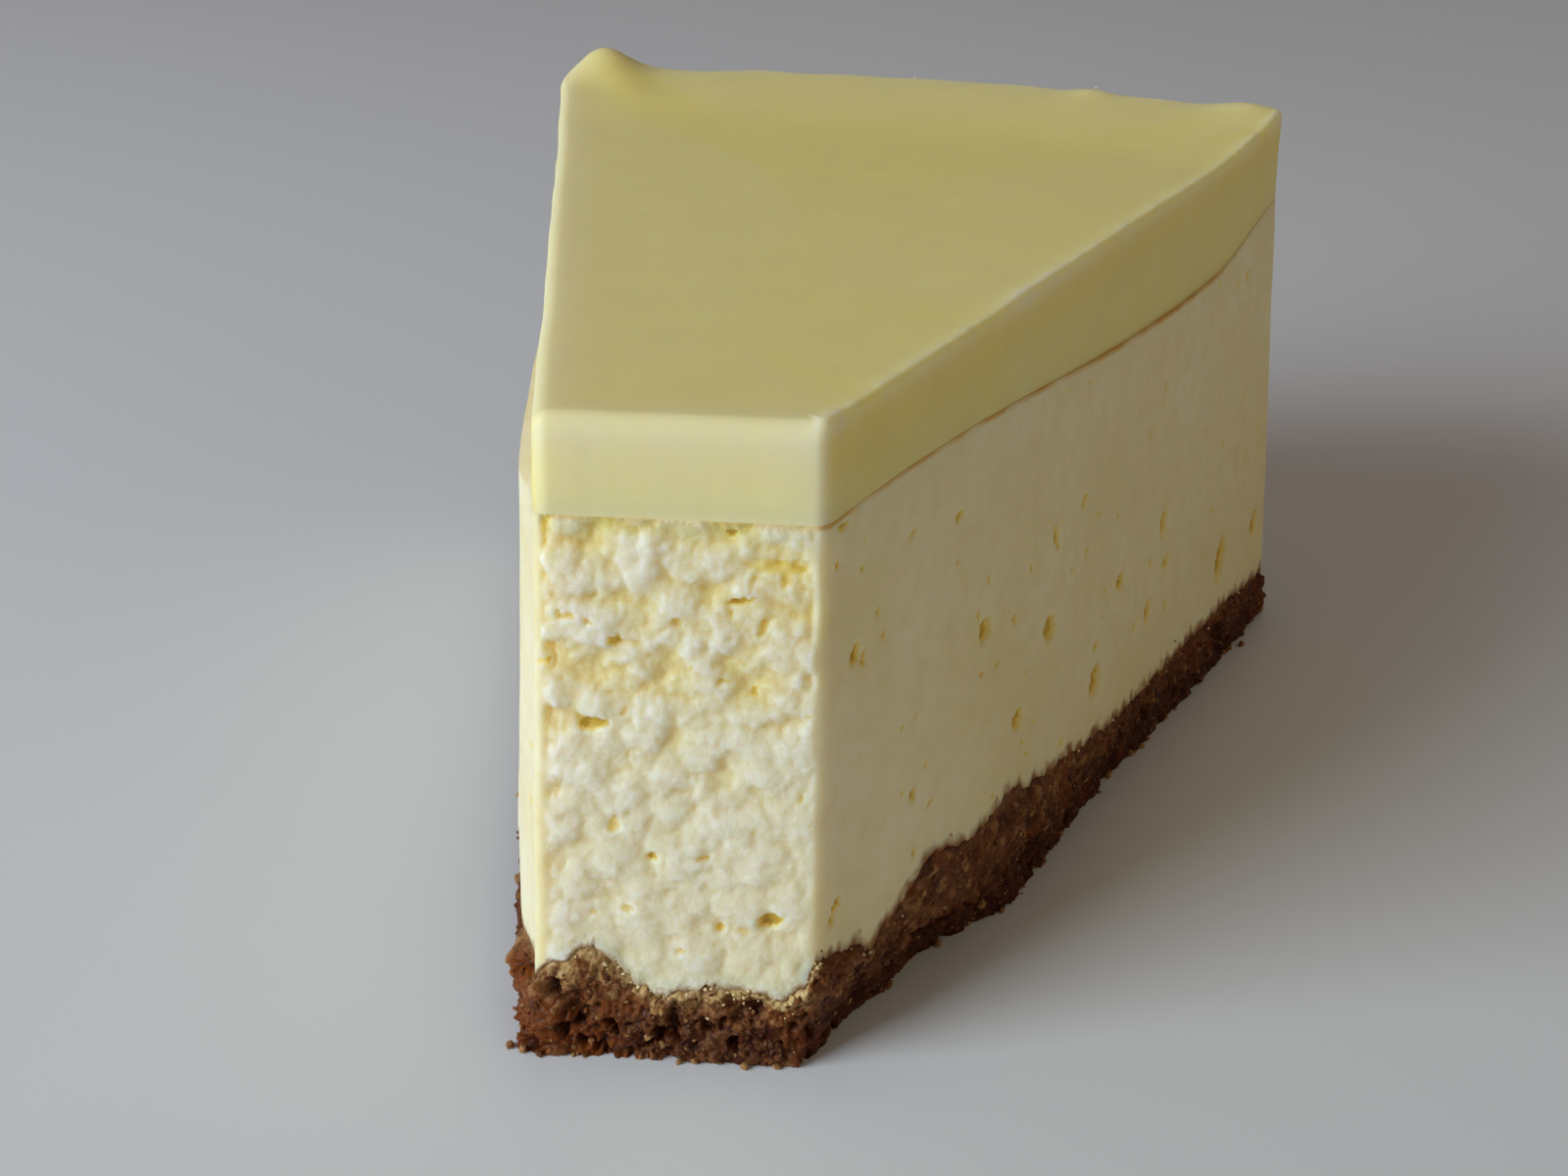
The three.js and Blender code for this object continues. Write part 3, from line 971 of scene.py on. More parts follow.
@dataclass(frozen=True)
class Hole:
    """An air hole in a wall: where it is along the wall and in height, its size, tilt and depth."""

    along: float
    z: float
    width: float
    tall: float
    tilt: float = 0.0
    depth: float = 1.0

    def cut(self, along: Array, z: Array, share: Array) -> tuple[Array, Array]:
        """The depth that this hole takes from the wall, and how much each point is in it.

        Formula: with q the point's distance in a tilted ellipse, 1 on its rim, the depth falls as the square
        root of 1 - q squared, and its wall is steep.

        Args:
            along: the place along the wall.
            z: the height.
            share: how much each point belongs to the wall.

        Returns:
            The depth in millimetres and a share from 0 to 1.
        """
        across, up = along - self.along, z - self.z
        turn = math.radians(self.tilt)
        first = (across * math.cos(turn) - up * math.sin(turn)) / (self.width / 2.0)
        second = (across * math.sin(turn) + up * math.cos(turn)) / (self.tall / 2.0)
        inside = np.clip(1.0 - first**2 - second**2, 0.0, 1.0)
        return 0.7 * self.depth * np.sqrt(inside) * share, smooth(0.0, 0.6, inside) * share


@dataclass
class BiscuitBase:
    """The base: crumbs pressed together, jagged above, ragged at the foot, with a few that came loose."""

    form: SliceForm
    finish: BiscuitCrumb = BiscuitCrumb()
    spacing: Spacing = Spacing(0.13, 0.26, 0.4, 0.3, 16, 30)
    rows: int = 54
    overhang: float = 0.4
    left_overhang: float = 1.2
    crumb_depth: float = 1.15
    chunk_mm: float = 2.0
    crumb_mm: float = 0.85
    cavity_mm: float = 2.4
    hollow_place: tuple[float, float] = (-10.2, 6.2)
    hollow_depth: float = 1.3
    stuck: int = 1500
    lying: int = 70
    strayed: int = 60
    clump_place: tuple[float, float] = (38.5, 4.5)
    clump_reach: float = 2.2
    clump_rise: float = 1.6
    sag_depth: float = 0.25
    rubbed_reach: float = 2.4
    sunk: float = 0.08
    right_foot_at: tuple[float, ...] = (33, 41, 46, 52, 57, 62, 69, 76, 87, 96, 110)
    right_foot: tuple[float, ...] = (-1.3, -1.9, -0.6, -0.8, 1.2, 3, 3.1, 2.5, 2.2, 2.8, 3.2)

    def shift(self, loop: Loop, z: Array) -> Array:
        """The shift of the wall: the sides spread, and the foot has its own line at the left and at the right.

        Formula: the right side's shift goes from its spread to its measured foot line as the height falls,
        and the left side's foot adds an overhang that is less towards the back.

        Args:
            loop: the trip round the slice.
            z: the height of each point of the wall, shape (rows, n).

        Returns:
            The shift of each point in plan.
        """
        low = np.clip(1.0 - z / self.form.crust_mean, 0.0, 1.0)
        right, left = self.form.spread(loop)
        foot = np.interp(loop.radius, self.right_foot_at, self.right_foot)
        pushed = self.left_overhang * (1.0 - 0.6 * smooth(40.0, 70.0, loop.radius))
        return self.form.sideways(loop, lerp(right, foot, low), left + pushed * low)

    def offset(self, z: Array, top: Array) -> Array:
        """The wall's offset before its crumbs: a foot that swells, and a top edge that tucks under."""
        tuck = 0.08 + 0.16 * smooth(0.85, 1.0, z / top)
        return self.overhang * np.clip(1.0 - z / self.form.crust_mean, 0.0, 1.0) - tuck

    def relief(self, points: Array) -> tuple[Array, Array]:
        """Crumbs pressed together: chunks, crumbs on them, a fine grain, and cavities low down.

        Formula: two sizes of lumps, fine layered swells and wide swells are added up, and soft steps of more
        layered swells are taken away where the crumbs have gaps.

        Args:
            points: shape (..., 3), in millimetres.

        Returns:
            The height in millimetres and how deep in a gap each point is, from 0 to 1.
        """
        moved = warp(points, 1.5, 0.5, 201)
        chunks = lumps(moved, self.chunk_mm, 202, 8.0)
        crumbs = lumps(moved, self.crumb_mm, 203, 8.0)
        low = lerp(1.0, 0.3, smooth(2.5, 6.5, points[..., 2]))
        cavities = smooth(0.12, 0.55, layered(moved, self.cavity_mm, 204, 3, 0.6)) * low
        fine = layered(points, 0.45, 207, 2, 0.7)
        height = 0.45 * chunks + 0.5 * crumbs + 0.17 * fine + 0.35 * swells(points, 4.5, 205)
        gap = 0.55 * smooth(0.65, 0.3, chunks) + 0.5 * smooth(0.65, 0.3, crumbs) * lerp(1.0, 0.5, 1.0 - low)
        gap = gap + 0.8 * cavities
        return (height - 0.85 * cavities - 0.48) * self.crumb_depth, np.clip(gap, 0.0, 1.0)

    def build(self) -> list[bpy.types.Object]:
        """Make the pressed base and its loose crumbs.

        Formula: the wall's rows rise from the floor to the jagged crust line, pushed out along the outline's
        normals by the spread, the foot and the crumbs. The caps are rings that shrink to the spine.

        Returns:
            The two pieces.
        """
        loop = self.form.outline.loop(self.spacing)
        top = self.form.crust(loop)
        share = crisp_ends(self.rows, 0.003)[:, None]
        z = share * top
        shift = self.shift(loop, z)
        plain = loop.wall(self.offset(z, top), z, shift)
        height, gap = self.relief(plain)
        height = height * lerp(1.0, 0.45, loop.rim)
        pit, dark = self.corner_hollow(loop, plain, z)
        along, up = self.clump_place
        clump = bell(loop.radius, along, self.clump_reach) * bell(z, up, self.clump_reach) * loop.left
        pit = pit - self.clump_rise * clump
        ends = smooth(1.0, 0.9, share) * lerp(0.6, 1.0, smooth(0.0, 0.04, share))
        wall = loop.wall(self.offset(z, top) + height * ends - pit, z, shift)
        sag = self.sag_depth * gap * smooth(0.3, 1.0, share)
        wall[..., 2] = np.maximum(wall[..., 2] - sag, 0.0)
        under = self.form.cap(wall[0], (0.4, 0.9))
        over = self.form.cap(wall[-1], (0.95, 0.7, 0.4), self.form.crust_mean)
        rows = np.concatenate([under, wall, over])
        walled = ((len(under), len(over)), (0, 0))
        tint = cell_tint(warp(rows, 0.6, 0.3, 208), self.crumb_mm, 206)
        paler = 0.65 * smooth(2.0, 6.5, rows[..., 2]) - 0.42 * loop.right
        paler = paler + 0.35 * smooth(1.5, 0.3, rows[..., 2]) * loop.front + np.pad(0.5 * clump, walled)
        rubbed = np.clip(1.0 - (0.95 * top - z) / self.rubbed_reach, 0.0, 1.0)
        values = {
            "tint": np.clip(0.7 * tint - 0.1 + paler, 0.0, 1.0),
            # Painted shade: the gaps between crumbs and the corner pit darkened.
            "hollow": np.pad(np.clip(gap + dark, 0.0, 1.0), walled),
            "cheese": np.pad(rubbed * lerp(0.3, 1.0, loop.front), walled),
            "butter": self.butter(rows),
        }
        shape = closed_shell(rows, values)
        material = self.finish.material("Crushed biscuit, pressed")
        base = shape.piece("biscuit_crumb_base", material, "biscuit_base")
        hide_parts("biscuit_base")
        return [base, self.crumbs(loop, wall, material)]

    def butter(self, points: Array) -> Array:
        """How much butter darkens each point to amber: here and there, and most low at the front's left corner.

        Formula: a soft step of swells of 3.4 mm, and a product of soft steps in x, y and z for the corner.

        Args:
            points: shape (..., 3), in millimetres.

        Returns:
            A share from 0 to 1 for each point.
        """
        x, y, z = np.moveaxis(points, -1, 0)
        corner = smooth(-3.0, -9.0, x) * smooth(-43.0, -46.0, y) * lerp(0.35, 1.0, smooth(9.0, 3.5, z))
        return np.clip(0.45 * smooth(0.1, 0.6, swells(points, 3.4, 209)) + 0.75 * corner, 0.0, 1.0)

    def corner_hollow(self, loop: Loop, plain: Array, z: Array) -> tuple[Array, Array]:
        """The pit where crumbs fell out, by the front's left corner, darkened with painted shade.

        Formula: a bell in the place along the front and in height.

        Args:
            loop: the trip round the slice.
            plain: the wall's points before their relief, shape (rows, n, 3).
            z: the height of each point of the wall, shape (rows, n).

        Returns:
            Its depth in millimetres at each point, and how much painted shade darkens each point, from 0 to 1.
        """
        across, up = self.hollow_place
        inside = bell(plain[..., 0], across, 0.75) * bell(z, up, 1.2) * smooth(0.0, 0.3, loop.front)
        return self.hollow_depth * inside, 0.6 * smooth(0.3, 0.8, inside)

    def crumbs(self, loop: Loop, wall: Array, material: bpy.types.Material) -> bpy.types.Object:
        """Crumbs stuck to the wall, some lying by its foot, and a few strayed on to the cheese.

        Formula: a stuck crumb takes a random point of the wall and sinks in a little. A lying one moves out
        from a random point of the foot, and a strayed one up from a random point of the crust line, each by an
        exponential draw.

        Args:
            loop: the trip round the slice.
            wall: the base's finished wall, shape (rows, n, 3).
            material: the base's own material.

        Returns:
            The piece.
        """
        random = np.random.default_rng(7)
        weight = 1.0 + 3.0 * loop.front + 1.2 * loop.right + loop.left
        line = wall[self.rows // 3]
        stuck = loop.pick(weight, line, self.stuck, random)
        size = np.clip(random.lognormal(-1.75, 0.4, size=self.stuck), 0.08, 0.42)
        sizes = size[:, None] * random.uniform(0.6, 1.35, size=(self.stuck, 3))
        places = wall[random.integers(1, self.rows - 3, size=self.stuck), stuck]
        places = places - at_height(loop.normal[stuck], 0.0) * self.sunk
        foot = loop.pick(weight, line, self.lying, random)
        small = random.uniform(0.12, 0.4, size=self.lying)
        lying = wall[0, foot]
        lying[:, :2] += loop.normal[foot] * random.exponential(0.22, size=self.lying)[:, None]
        lying[:, 2] = small * 0.6
        edge = loop.pick(weight, line, self.strayed, random)
        tiny = random.uniform(0.06, 0.16, size=self.strayed)
        above = self.form.crust(loop)[edge] + random.exponential(0.5, size=self.strayed)
        shifted = self.form.lean(loop, self.form.crust(loop))[edge]
        strayed = at_height(loop.point[edge] + shifted, above)
        strayed[:, :2] += loop.normal[edge] * random.uniform(-0.1, 0.1, size=self.strayed)[:, None]
        places = np.concatenate([places, lying, strayed])
        sizes = np.concatenate([sizes, np.repeat(np.concatenate([small, tiny])[:, None], 3, axis=1)])
        tints = random.uniform(0.15, 0.95, size=len(places))
        tints[self.stuck :] = 0.55 + 0.45 * tints[self.stuck :]
        shape = scatter(places, sizes, tints, 0.3, 8)
        shape.vertices[:, 2] = np.maximum(shape.vertices[:, 2], 0.02)
        return shape.piece("biscuit_loose_crumbs", material, "biscuit_base")


@dataclass
class CheeseFilling:
    """The filling: smooth knife-cut sides with air holes, and a torn front of soft curds."""

    form: SliceForm
    finish: BakedCheese = BakedCheese()
    grain_finish: BakedCheese = BakedCheese(cream="e9dcae", warm="dcc68a", damp="cbab6a")
    spacing: Spacing = Spacing(0.16, 0.4, 1.2, 0.8, 10, 26)
    rows: int = 156
    gap: float = 0.05
    seam_gap: float = 0.005
    recess: float = 0.55
    puff_mm: float = 2.6
    curd_mm: float = 1.1
    grain_mm: float = 0.45
    swell_mm: float = 4.0
    ragged: float = 0.22
    crease_shade: float = 0.5
    loose: int = 120
    loose_size: tuple[float, float] = (0.06, 0.2)
    specks: Rows = ((1.4, 6.0), (-0.6, 49.4), (19.0, 48.9))
    front_shallow: float = 0.5
    front_holes: Rows = (
        (-6.0, 30.6, 2.5, 1.3, -4.0, 1.3), (6.9, 13.9, 2.5, 1.5, -14.0, 1.3),
        (4.7, 41.2, 2.2, 0.7, -12.0, 1.0), (4.1, 46.5, 0.9, 0.6, 0.0, 0.8),
        (-9.3, 35.5, 1.2, 0.7, -10.0, 0.8), (-7.6, 39.5, 1.5, 0.6, 8.0, 0.7),
        (-6.0, 39.1, 0.9, 0.7, 0.0, 0.7), (0.2, 39.3, 1.0, 0.7, 0.0, 0.7), (-1.9, 19.0, 1.3, 1.0, -10.0, 1.0),
        (1.9, 19.1, 1.2, 0.6, 10.0, 0.8), (3.1, 12.8, 0.9, 1.1, 0.0, 0.8), (4.9, 12.8, 1.1, 1.2, 0.0, 0.6),
        (0.1, 10.6, 0.9, 0.7, -20.0, 0.7), (-3.9, 14.3, 1.0, 0.6, 10.0, 0.7),
        (-6.5, 13.8, 0.8, 0.5, 0.0, 0.5), (3.5, 34.7, 1.4, 0.5, -8.0, 0.6), (5.6, 33.8, 0.7, 0.9, 0.0, 0.5),
        (6.3, 39.2, 0.7, 2.0, 20.0, 0.6), (8.0, 42.9, 1.3, 0.9, -30.0, 0.6),
        (-4.2, 37.6, 1.2, 1.0, -15.0, 0.9),
    )
    right_holes: Rows = (
        (59.1, 28.6, 2.3, 2.6, 22.0, 1.0), (71.6, 23.4, 2.9, 2.5, 30.0, 1.0),
        (81.7, 13.4, 2.6, 3.9, 22.0, 1.2), (115.0, 12.2, 3.0, 6.0, 20.0, 1.2),
        (98.4, 22.9, 1.8, 3.7, 14.0, 1.0), (94.2, 14.9, 1.8, 2.9, 16.0, 0.9),
        (99.1, 18.3, 1.4, 2.0, 14.0, 0.8), (73.0, 31.9, 1.2, 2.1, 14.0, 0.7),
        (39.7, 35.1, 1.4, 1.8, 10.0, 0.8), (64.9, 17.6, 1.9, 2.3, 30.0, 0.9),
        (125.0, 12.0, 1.9, 3.0, 10.0, 0.8), (87.5, 21.1, 1.7, 1.9, 20.0, 0.7),
        (79.2, 32.4, 1.3, 1.5, 16.0, 0.7), (55.3, 40.3, 1.1, 0.8, 0.0, 0.5),
        (33.8, 44.0, 1.7, 1.4, 20.0, 0.7), (37.4, 46.4, 1.5, 0.9, 10.0, 0.6),
        (47.8, 18.9, 1.1, 1.2, 10.0, 0.6), (81.7, 16.9, 0.9, 1.3, 10.0, 0.6),
    )

    def random_holes(self, count: int, span: tuple[float, float], seed: int) -> Rows:
        """Small holes between the large ones: 0.3 to 1 mm wide, taller than wide and leaning back.

        Args:
            count: how many there are.
            span: where along the wall they begin and end.
            seed: for their random places and sizes.

        Returns:
            Each hole's numbers, in the order of Hole's fields.
        """
        random = np.random.default_rng(seed)
        along = np.linspace(*span, count) + random.uniform(-1.5, 1.5, count)
        z = random.uniform(10.0, 45.0, count)
        width = np.clip(random.lognormal(-0.75, 0.35, count), 0.28, 1.0)
        tall = width * random.uniform(1.0, 2.2, count)
        tilt = random.uniform(5.0, 30.0, count)
        return tuple(map(tuple, np.stack([along, z, width, tall, tilt, 0.8 * width], axis=1).tolist()))

    def curds(self, points: Array) -> tuple[Array, Array, Array]:
        """The relief of the torn face: puffs, curds and grains, over recesses that glow yellow.

        Formula: three sizes of lumps and layered swells are added up. The two larger sizes sag, so their
        undersides are steep and their upper sides gentle. The lower the sum, the deeper the recess, by two
        soft steps. The lower half of the face is smoother and its recesses are paler.

        Args:
            points: shape (..., 3), in millimetres.

        Returns:
            The height in millimetres, how deep in a recess each point is and how much it is on a crest, both
            from 0 to 1.
        """
        moved = warp(points, 2.2, 0.5, 301)
        puffs = self.sagging(moved, self.puff_mm, 305, 8.0, 1.1) - 0.8
        curds = self.sagging(moved, self.curd_mm, 306, 6.0, 0.5) - 0.86
        grains = lumps(points, self.grain_mm, 308, 4.0) - 0.96
        wide = layered(moved, self.swell_mm, 302, 3, 0.6)
        upper = smooth(18.0, 36.0, points[..., 2])
        field = 0.75 * puffs + 0.45 * curds + 0.25 * grains + 0.22 * wide
        recess = 0.5 * smooth(0.0, -0.3, field - 0.1 * upper) + 0.5 * smooth(-0.2, -0.4, field - 0.04 * upper)
        rough = lerp(0.6, 1.0, upper)
        height = (0.85 * puffs + 0.36 * curds + 0.24 * grains) * rough + 0.22 * wide - 0.08 * recess
        return height + 0.57, recess * lerp(0.5, 1.0, upper), smooth(-0.1, 0.22, field)

    def sagging(self, points: Array, cell: float, seed: int, blend: float, sag: float) -> Array:
        """Lumps that sag: each point is read lower down, by sag times how far it lies under its lump's top."""
        drop = sag * (lumps(points, cell, seed, blend) - 1.0)
        return lumps(at_height(points[..., :2], points[..., 2] + drop), cell, seed, blend)

    def build(self) -> list[bpy.types.Object]:
        """Make the filling.

        Formula: the wall's rows rise from the jagged crust line to the seam, offset by the spread, then by
        curds on the front and by holes on every wall.

        Returns:
            The filling and its loose grains.
        """
        form = self.form
        loop = form.outline.loop(self.spacing)
        low = form.crust(loop) + self.gap
        high = form.seam(loop.radius) - self.seam_gap
        share = crisp_ends(self.rows)[:, None]
        z = lerp(low, high, share)
        shift = form.lean(loop, z)
        plain = loop.wall(np.zeros(z.shape), z, shift)
        torn = self.torn_share(loop)
        curd, crease, crest = self.curds(plain)
        cut, inside = self.holes(loop, plain, z)
        near = smooth(2.5, 0.0, high - z)
        drag = 0.02 * swells(plain * np.array([1.0, 1.0, 0.12]), 1.6, 311)
        soft = 0.08 * swells(plain, 7.0, 312)
        relief = (curd - self.recess) * smooth(-0.35, 0.8, high - z)
        flush = lerp(drag + soft, form.sway(loop) + 0.03, near)
        offset = relief * torn + flush * (1.0 - torn) - cut
        wall = loop.wall(offset, z, shift)
        # Painted shade in yellow: the torn face's creases, the holes, and a band under the topping's edge; the
        # torn face is also yellower towards the top.
        seam_shade_and_upper_yellow = 0.2 * smooth(1.6, 0.2, high - z) + 0.12 * smooth(24.0, 44.0, z)
        hollow = np.clip(inside + (crease * self.crease_shade + seam_shade_and_upper_yellow) * torn, 0.0, 1.0)
        smeared = 0.8 * torn + 1.9 * loop.right + 1.3 * loop.left + 0.9 * loop.rim
        crumb = np.clip(1.0 - (z - low) / np.maximum(smeared, 0.8), 0.0, 1.0) * lerp(1.0, 0.75, torn)
        skin = self.browning(loop, plain, high - z)
        under = form.cap(wall[0], (0.4, 0.7, 0.95), form.crust_mean + self.gap)
        over = form.cap(wall[-1], (0.93, 0.6, 0.3))
        over[..., 2] = form.seam(form.radius(over[..., :2])) - self.seam_gap
        rows = np.concatenate([under, wall, over])
        # The torn face a little paler all over, and a painted highlight on its crests.
        crest = (0.4 + 0.6 * crest) * torn
        torn = np.broadcast_to(torn, z.shape)
        glow = smooth(0.0, 1.0, high - z) * smooth(0.0, 0.8, z - low)
        fields = {"hollow": hollow, "skin": skin, "crumb": crumb, "torn": torn, "crest": crest, "glow": glow}
        walled = ((len(under), len(over)), (0, 0))
        shape = closed_shell(rows, {title: np.pad(numbers, walled) for title, numbers in fields.items()})
        material = self.finish.material("Baked cream cheese, cut and torn")
        filling = shape.piece("cheese_filling_body", material, "cheese_filling")
        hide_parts("cheese_filling")
        return [filling, self.grains(loop, self.grain_finish.material("Baked cream cheese, in grains"))]

    def grains(self, loop: Loop, material: bpy.types.Material) -> bpy.types.Object:
        """Grains of cheese rubbed on to the top of the base at the front, and a few specks on the topping.

        Formula: each grain sits on a random column of the outline, a little below the crust line. Each speck
        sits on the topping's surface at its place in plan.

        Args:
            loop: the trip round the slice.
            material: their finish.

        Returns:
            The piece.
        """
        random = np.random.default_rng(17)
        column = loop.pick(loop.front, loop.point, self.loose, random)
        low = self.form.crust(loop)
        z = low - random.exponential(0.55, size=len(low))
        shift = self.form.lean(loop, low)
        places = loop.wall(random.uniform(-0.35, 0.15, size=len(low)), z, shift)[column]
        places[:, 2] = low[column] - random.exponential(0.8, size=self.loose)
        plan = np.array(self.specks)
        places = np.concatenate([places, at_height(plan, self.form.top(plan))])
        size = random.uniform(*self.loose_size, size=(len(places), 1))
        size = size * random.uniform(0.7, 1.3, size=(len(places), 3))
        shape = scatter(places, size, np.zeros(len(places)), 0.25, 18)
        return shape.piece("cheese_loose_grains", material, "cheese_filling")

    def torn_share(self, loop: Loop) -> Array:
        """How much each column is torn: the front, up to a smooth strip at its corners.

        Formula: a product of soft steps in how much the column faces left, right and front.

        Args:
            loop: the trip round the slice.

        Returns:
            A share from 0 to 1 for each column.
        """
        normals = self.form.outline.normals
        left_end = smooth(0.72, 0.5, loop.normal @ normals[Wall.LEFT])
        right_end = smooth(0.75, 0.3, loop.normal @ normals[Wall.RIGHT])
        return left_end * right_end * smooth(-0.2, 0.0, loop.normal @ normals[Wall.FRONT])

    def browning(self, loop: Loop, plain: Array, below: Array) -> Array:
        """The browned skin of the baked filling, seen as a thin line under the topping.

        Formula: a soft band about 0.5 mm high, times swells along the wall and each wall's own strength.

        Args:
            loop: the trip round the slice.
            plain: the wall's points before their relief, shape (rows, n, 3).
            below: how far each point is under the seam, in millimetres.

        Returns:
            A share from 0 to 1 for each point of the wall.
        """
        wander = swells(plain * np.array([1.0, 1.0, 0.1]), 4.0, 313)
        shade = loop.right + 0.45 * loop.rim + 0.25 * loop.left
        shade = shade * lerp(1.0, 0.25, smooth(108.0, 116.0, loop.radius))
        return smooth(0.5, 0.12, below) * np.clip(0.8 + 0.8 * wander, 0.15, 1.0) * shade

    def holes(self, loop: Loop, plain: Array, z: Array) -> tuple[Array, Array]:
        """All holes together: the depth that they take and how much each point is in one.

        Formula: the place along the wall and in height is pushed about a little first, so no hole is a
        clean ellipse.

        Args:
            loop: the trip round the slice.
            plain: the wall's points before their relief, shape (rows, n, 3).
            z: the height of each point of the wall, shape (rows, n).

        Returns:
            The depth in millimetres and a share from 0 to 1, for each point of the wall.
        """
        push_along, push_up = (self.ragged * layered(plain, 0.8, seed, 2) for seed in (321, 322))
        across = loop.point[:, 0] + push_along
        radius = loop.radius + push_along
        angle = np.arctan2(loop.point[:, 0], loop.point[:, 1] - self.form.outline.tin_centre[1])
        arc = angle * self.form.outline.rim_radius + push_along
        z = z + push_up
        groups = [
            (Wall.FRONT, loop.front, across, self.front_holes + self.random_holes(7, (-8.5, 9.0), 41)),
            (Wall.RIGHT, loop.right, radius, self.right_holes + self.random_holes(95, (34.0, 128.0), 42)),
            (Wall.LEFT, loop.left, radius, self.random_holes(110, (36.0, 126.0), 43)),
            (Wall.RIM, loop.rim, arc, self.random_holes(60, (-36.0, 36.0), 44)),
        ]
        depth = np.zeros(z.shape)
        inside = np.zeros(z.shape)
        for wall, share, along, holes in groups:
            shallow = self.front_shallow if wall is Wall.FRONT else 1.0
            for hole in itertools.starmap(Hole, holes):
                taken, within = hole.cut(along, z, share)
                # Painted shade inside the holes, weaker in the front's shallow ones.
                hole_shade = min(max(hole.depth - 0.2, 0.4), 1.0) if wall is Wall.FRONT else 1.0
                depth = np.maximum(depth, shallow * taken)
                inside = np.maximum(inside, hole_shade * within)
        return depth, inside


@dataclass
class SetTopping:
    """The topping: poured level, cut clean, its cut edges rounded and its right edge a thin ridge, pale from
    its chips and from a painted highlight.
    """

    form: SliceForm
    finish: SetCream = SetCream()
    spacing: Spacing = Spacing(0.3, 0.3, 0.5, 0.4, 12, 12)
    wall_rows: int = 16
    round_rows: int = 10
    gap: float = 0.005
    ridge_height: float = 0.26
    ridge_width: float = 1.1
    draft: float = 0.25
    soft_band: float = 2.6
    ridge_band: float = 0.8
    edge_steps: tuple[float, ...] = (0.2, 0.4, 0.6, 0.8, 1.1, 1.5, 2.0, 2.8, 4.0)
    cap_shares: tuple[float, ...] = (0.9, 0.8, 0.7, 0.6, 0.5, 0.4, 0.3)

    def build(self) -> list[bpy.types.Object]:
        """Make the topping.

        Formula: rings across the seam, a straight wall, a quarter round at the top edge, and rings over the
        surface whose height follows the form plus a ridge along the right cut.

        Returns:
            The piece.
        """
        form = self.form
        loop = form.outline.loop(self.spacing)
        chips = np.clip(0.6 + 0.5 * layered(loop.flat, 6.0, 401, 4, 0.6), 0.1, 1.2)
        soft = 1.15 * loop.front + 1.1 * loop.left + 0.8 * loop.rim
        rounding = blurred(blurred(np.clip(soft, 0.4, 1.15), 9), 6)
        drop = rounding * (1.0 + 0.5 * blurred(loop.front, 6))
        foot = form.seam(loop.radius) + self.gap
        crown = form.top(loop.point) + 0.18 * swells(loop.flat, 7.0, 403) * loop.rim
        ridge = self.ridge_height * chips * blurred(loop.right, 5)
        sway = form.sway(loop)
        up = crisp_ends(self.wall_rows)[:, None]
        z = lerp(foot, crown - drop, up)
        draft = -self.draft * np.clip((z - form.seam_height) / 6.0, 0.0, 1.0)
        still = np.zeros(2)
        wall = loop.wall(sway + draft, z, still)
        turn = np.linspace(0.0, math.pi / 2.0, self.round_rows + 1)[1:, None]
        z_round = crown - drop * (1.0 - np.sin(turn)) + ridge * np.sin(turn) ** 2
        rounded = loop.wall(sway + draft[-1] - rounding * (1.0 - np.cos(turn)), z_round, still)
        edge_rings = np.stack([self.inset(rounded[-1], step, ridge) for step in self.edge_steps])
        over = form.cap(edge_rings[-1], self.cap_shares)
        over[..., 2] = form.top(over[..., :2])
        under = form.cap(wall[0], (0.3, 0.6, 0.93))
        under[..., 2] = form.seam(form.radius(under[..., :2])) + self.gap
        rows = np.concatenate([under, wall, rounded, edge_rings, over])
        # Painted light on the edges and the front, broken by the chips along the right ridge.
        edge = self.edge_share(loop, rows, crown, len(under)) * lerp(1.0, chips, loop.right)
        glow = 0.9 * smooth(0.0, 1.0, rows[..., 2] - foot)
        shape = closed_shell(rows, {"edge": edge, "glow": glow})
        material = self.finish.material("Set cream, poured and cut")
        topping = shape.piece("set_topping_cream", material, "set_topping")
        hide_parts("set_topping")
        return [topping]

    def inset(self, ring: Array, step: float, ridge: Array) -> Array:
        """A ring of the surface, a step in from the edge, on the bell-shaped back of the right ridge."""
        plan = self.form.inward(ring, step)
        return at_height(plan, self.form.top(plan) + ridge * bell(step, 0.0, self.ridge_width))

    def edge_share(self, loop: Loop, rows: Array, crown: Array, skip: int) -> Array:
        """How much painted light pales each point, from 0 to 1: the pale band of an edge, and the lit front.

        Formula: a bell in the distance below or inside the top edge, wide at the front and the left and narrow
        on the ridge at the right, plus soft steps down the front and down the lower part of the right side.

        Args:
            loop: the trip round the slice.
            rows: all rings of the topping, shape (rings, n, 3).
            crown: the height of the topping's edge at each column.
            skip: how many rings lie under the wall.

        Returns:
            A share for each point of the rings.
        """
        down = np.maximum(crown - rows[..., 2], 0.0)
        plan = np.linalg.norm(rows[..., :2] - rows[skip + self.wall_rows - 1, :, :2], axis=-1)
        reach = np.hypot(down * 0.8, plan)
        soft = loop.front + loop.left + 0.5 * loop.rim
        # Painted light: the top a little paler, the lit front paler still, the shaded side walls not at all;
        # highlight bands on the edges and the ridge; the right side paler low down.
        inside = 0.2 + (0.55 * loop.front - 0.2) * smooth(0.3, 1.5, down)
        inside += np.clip(soft, 0.0, 1.0) * 0.5 * bell(reach, 0.0, self.soft_band)
        inside += loop.right * 0.9 * bell(reach, 0.0, self.ridge_band)
        inside += loop.right * 0.25 * smooth(2.5, 6.0, down)
        return np.clip(inside, 0.0, 1.0)


# The studio


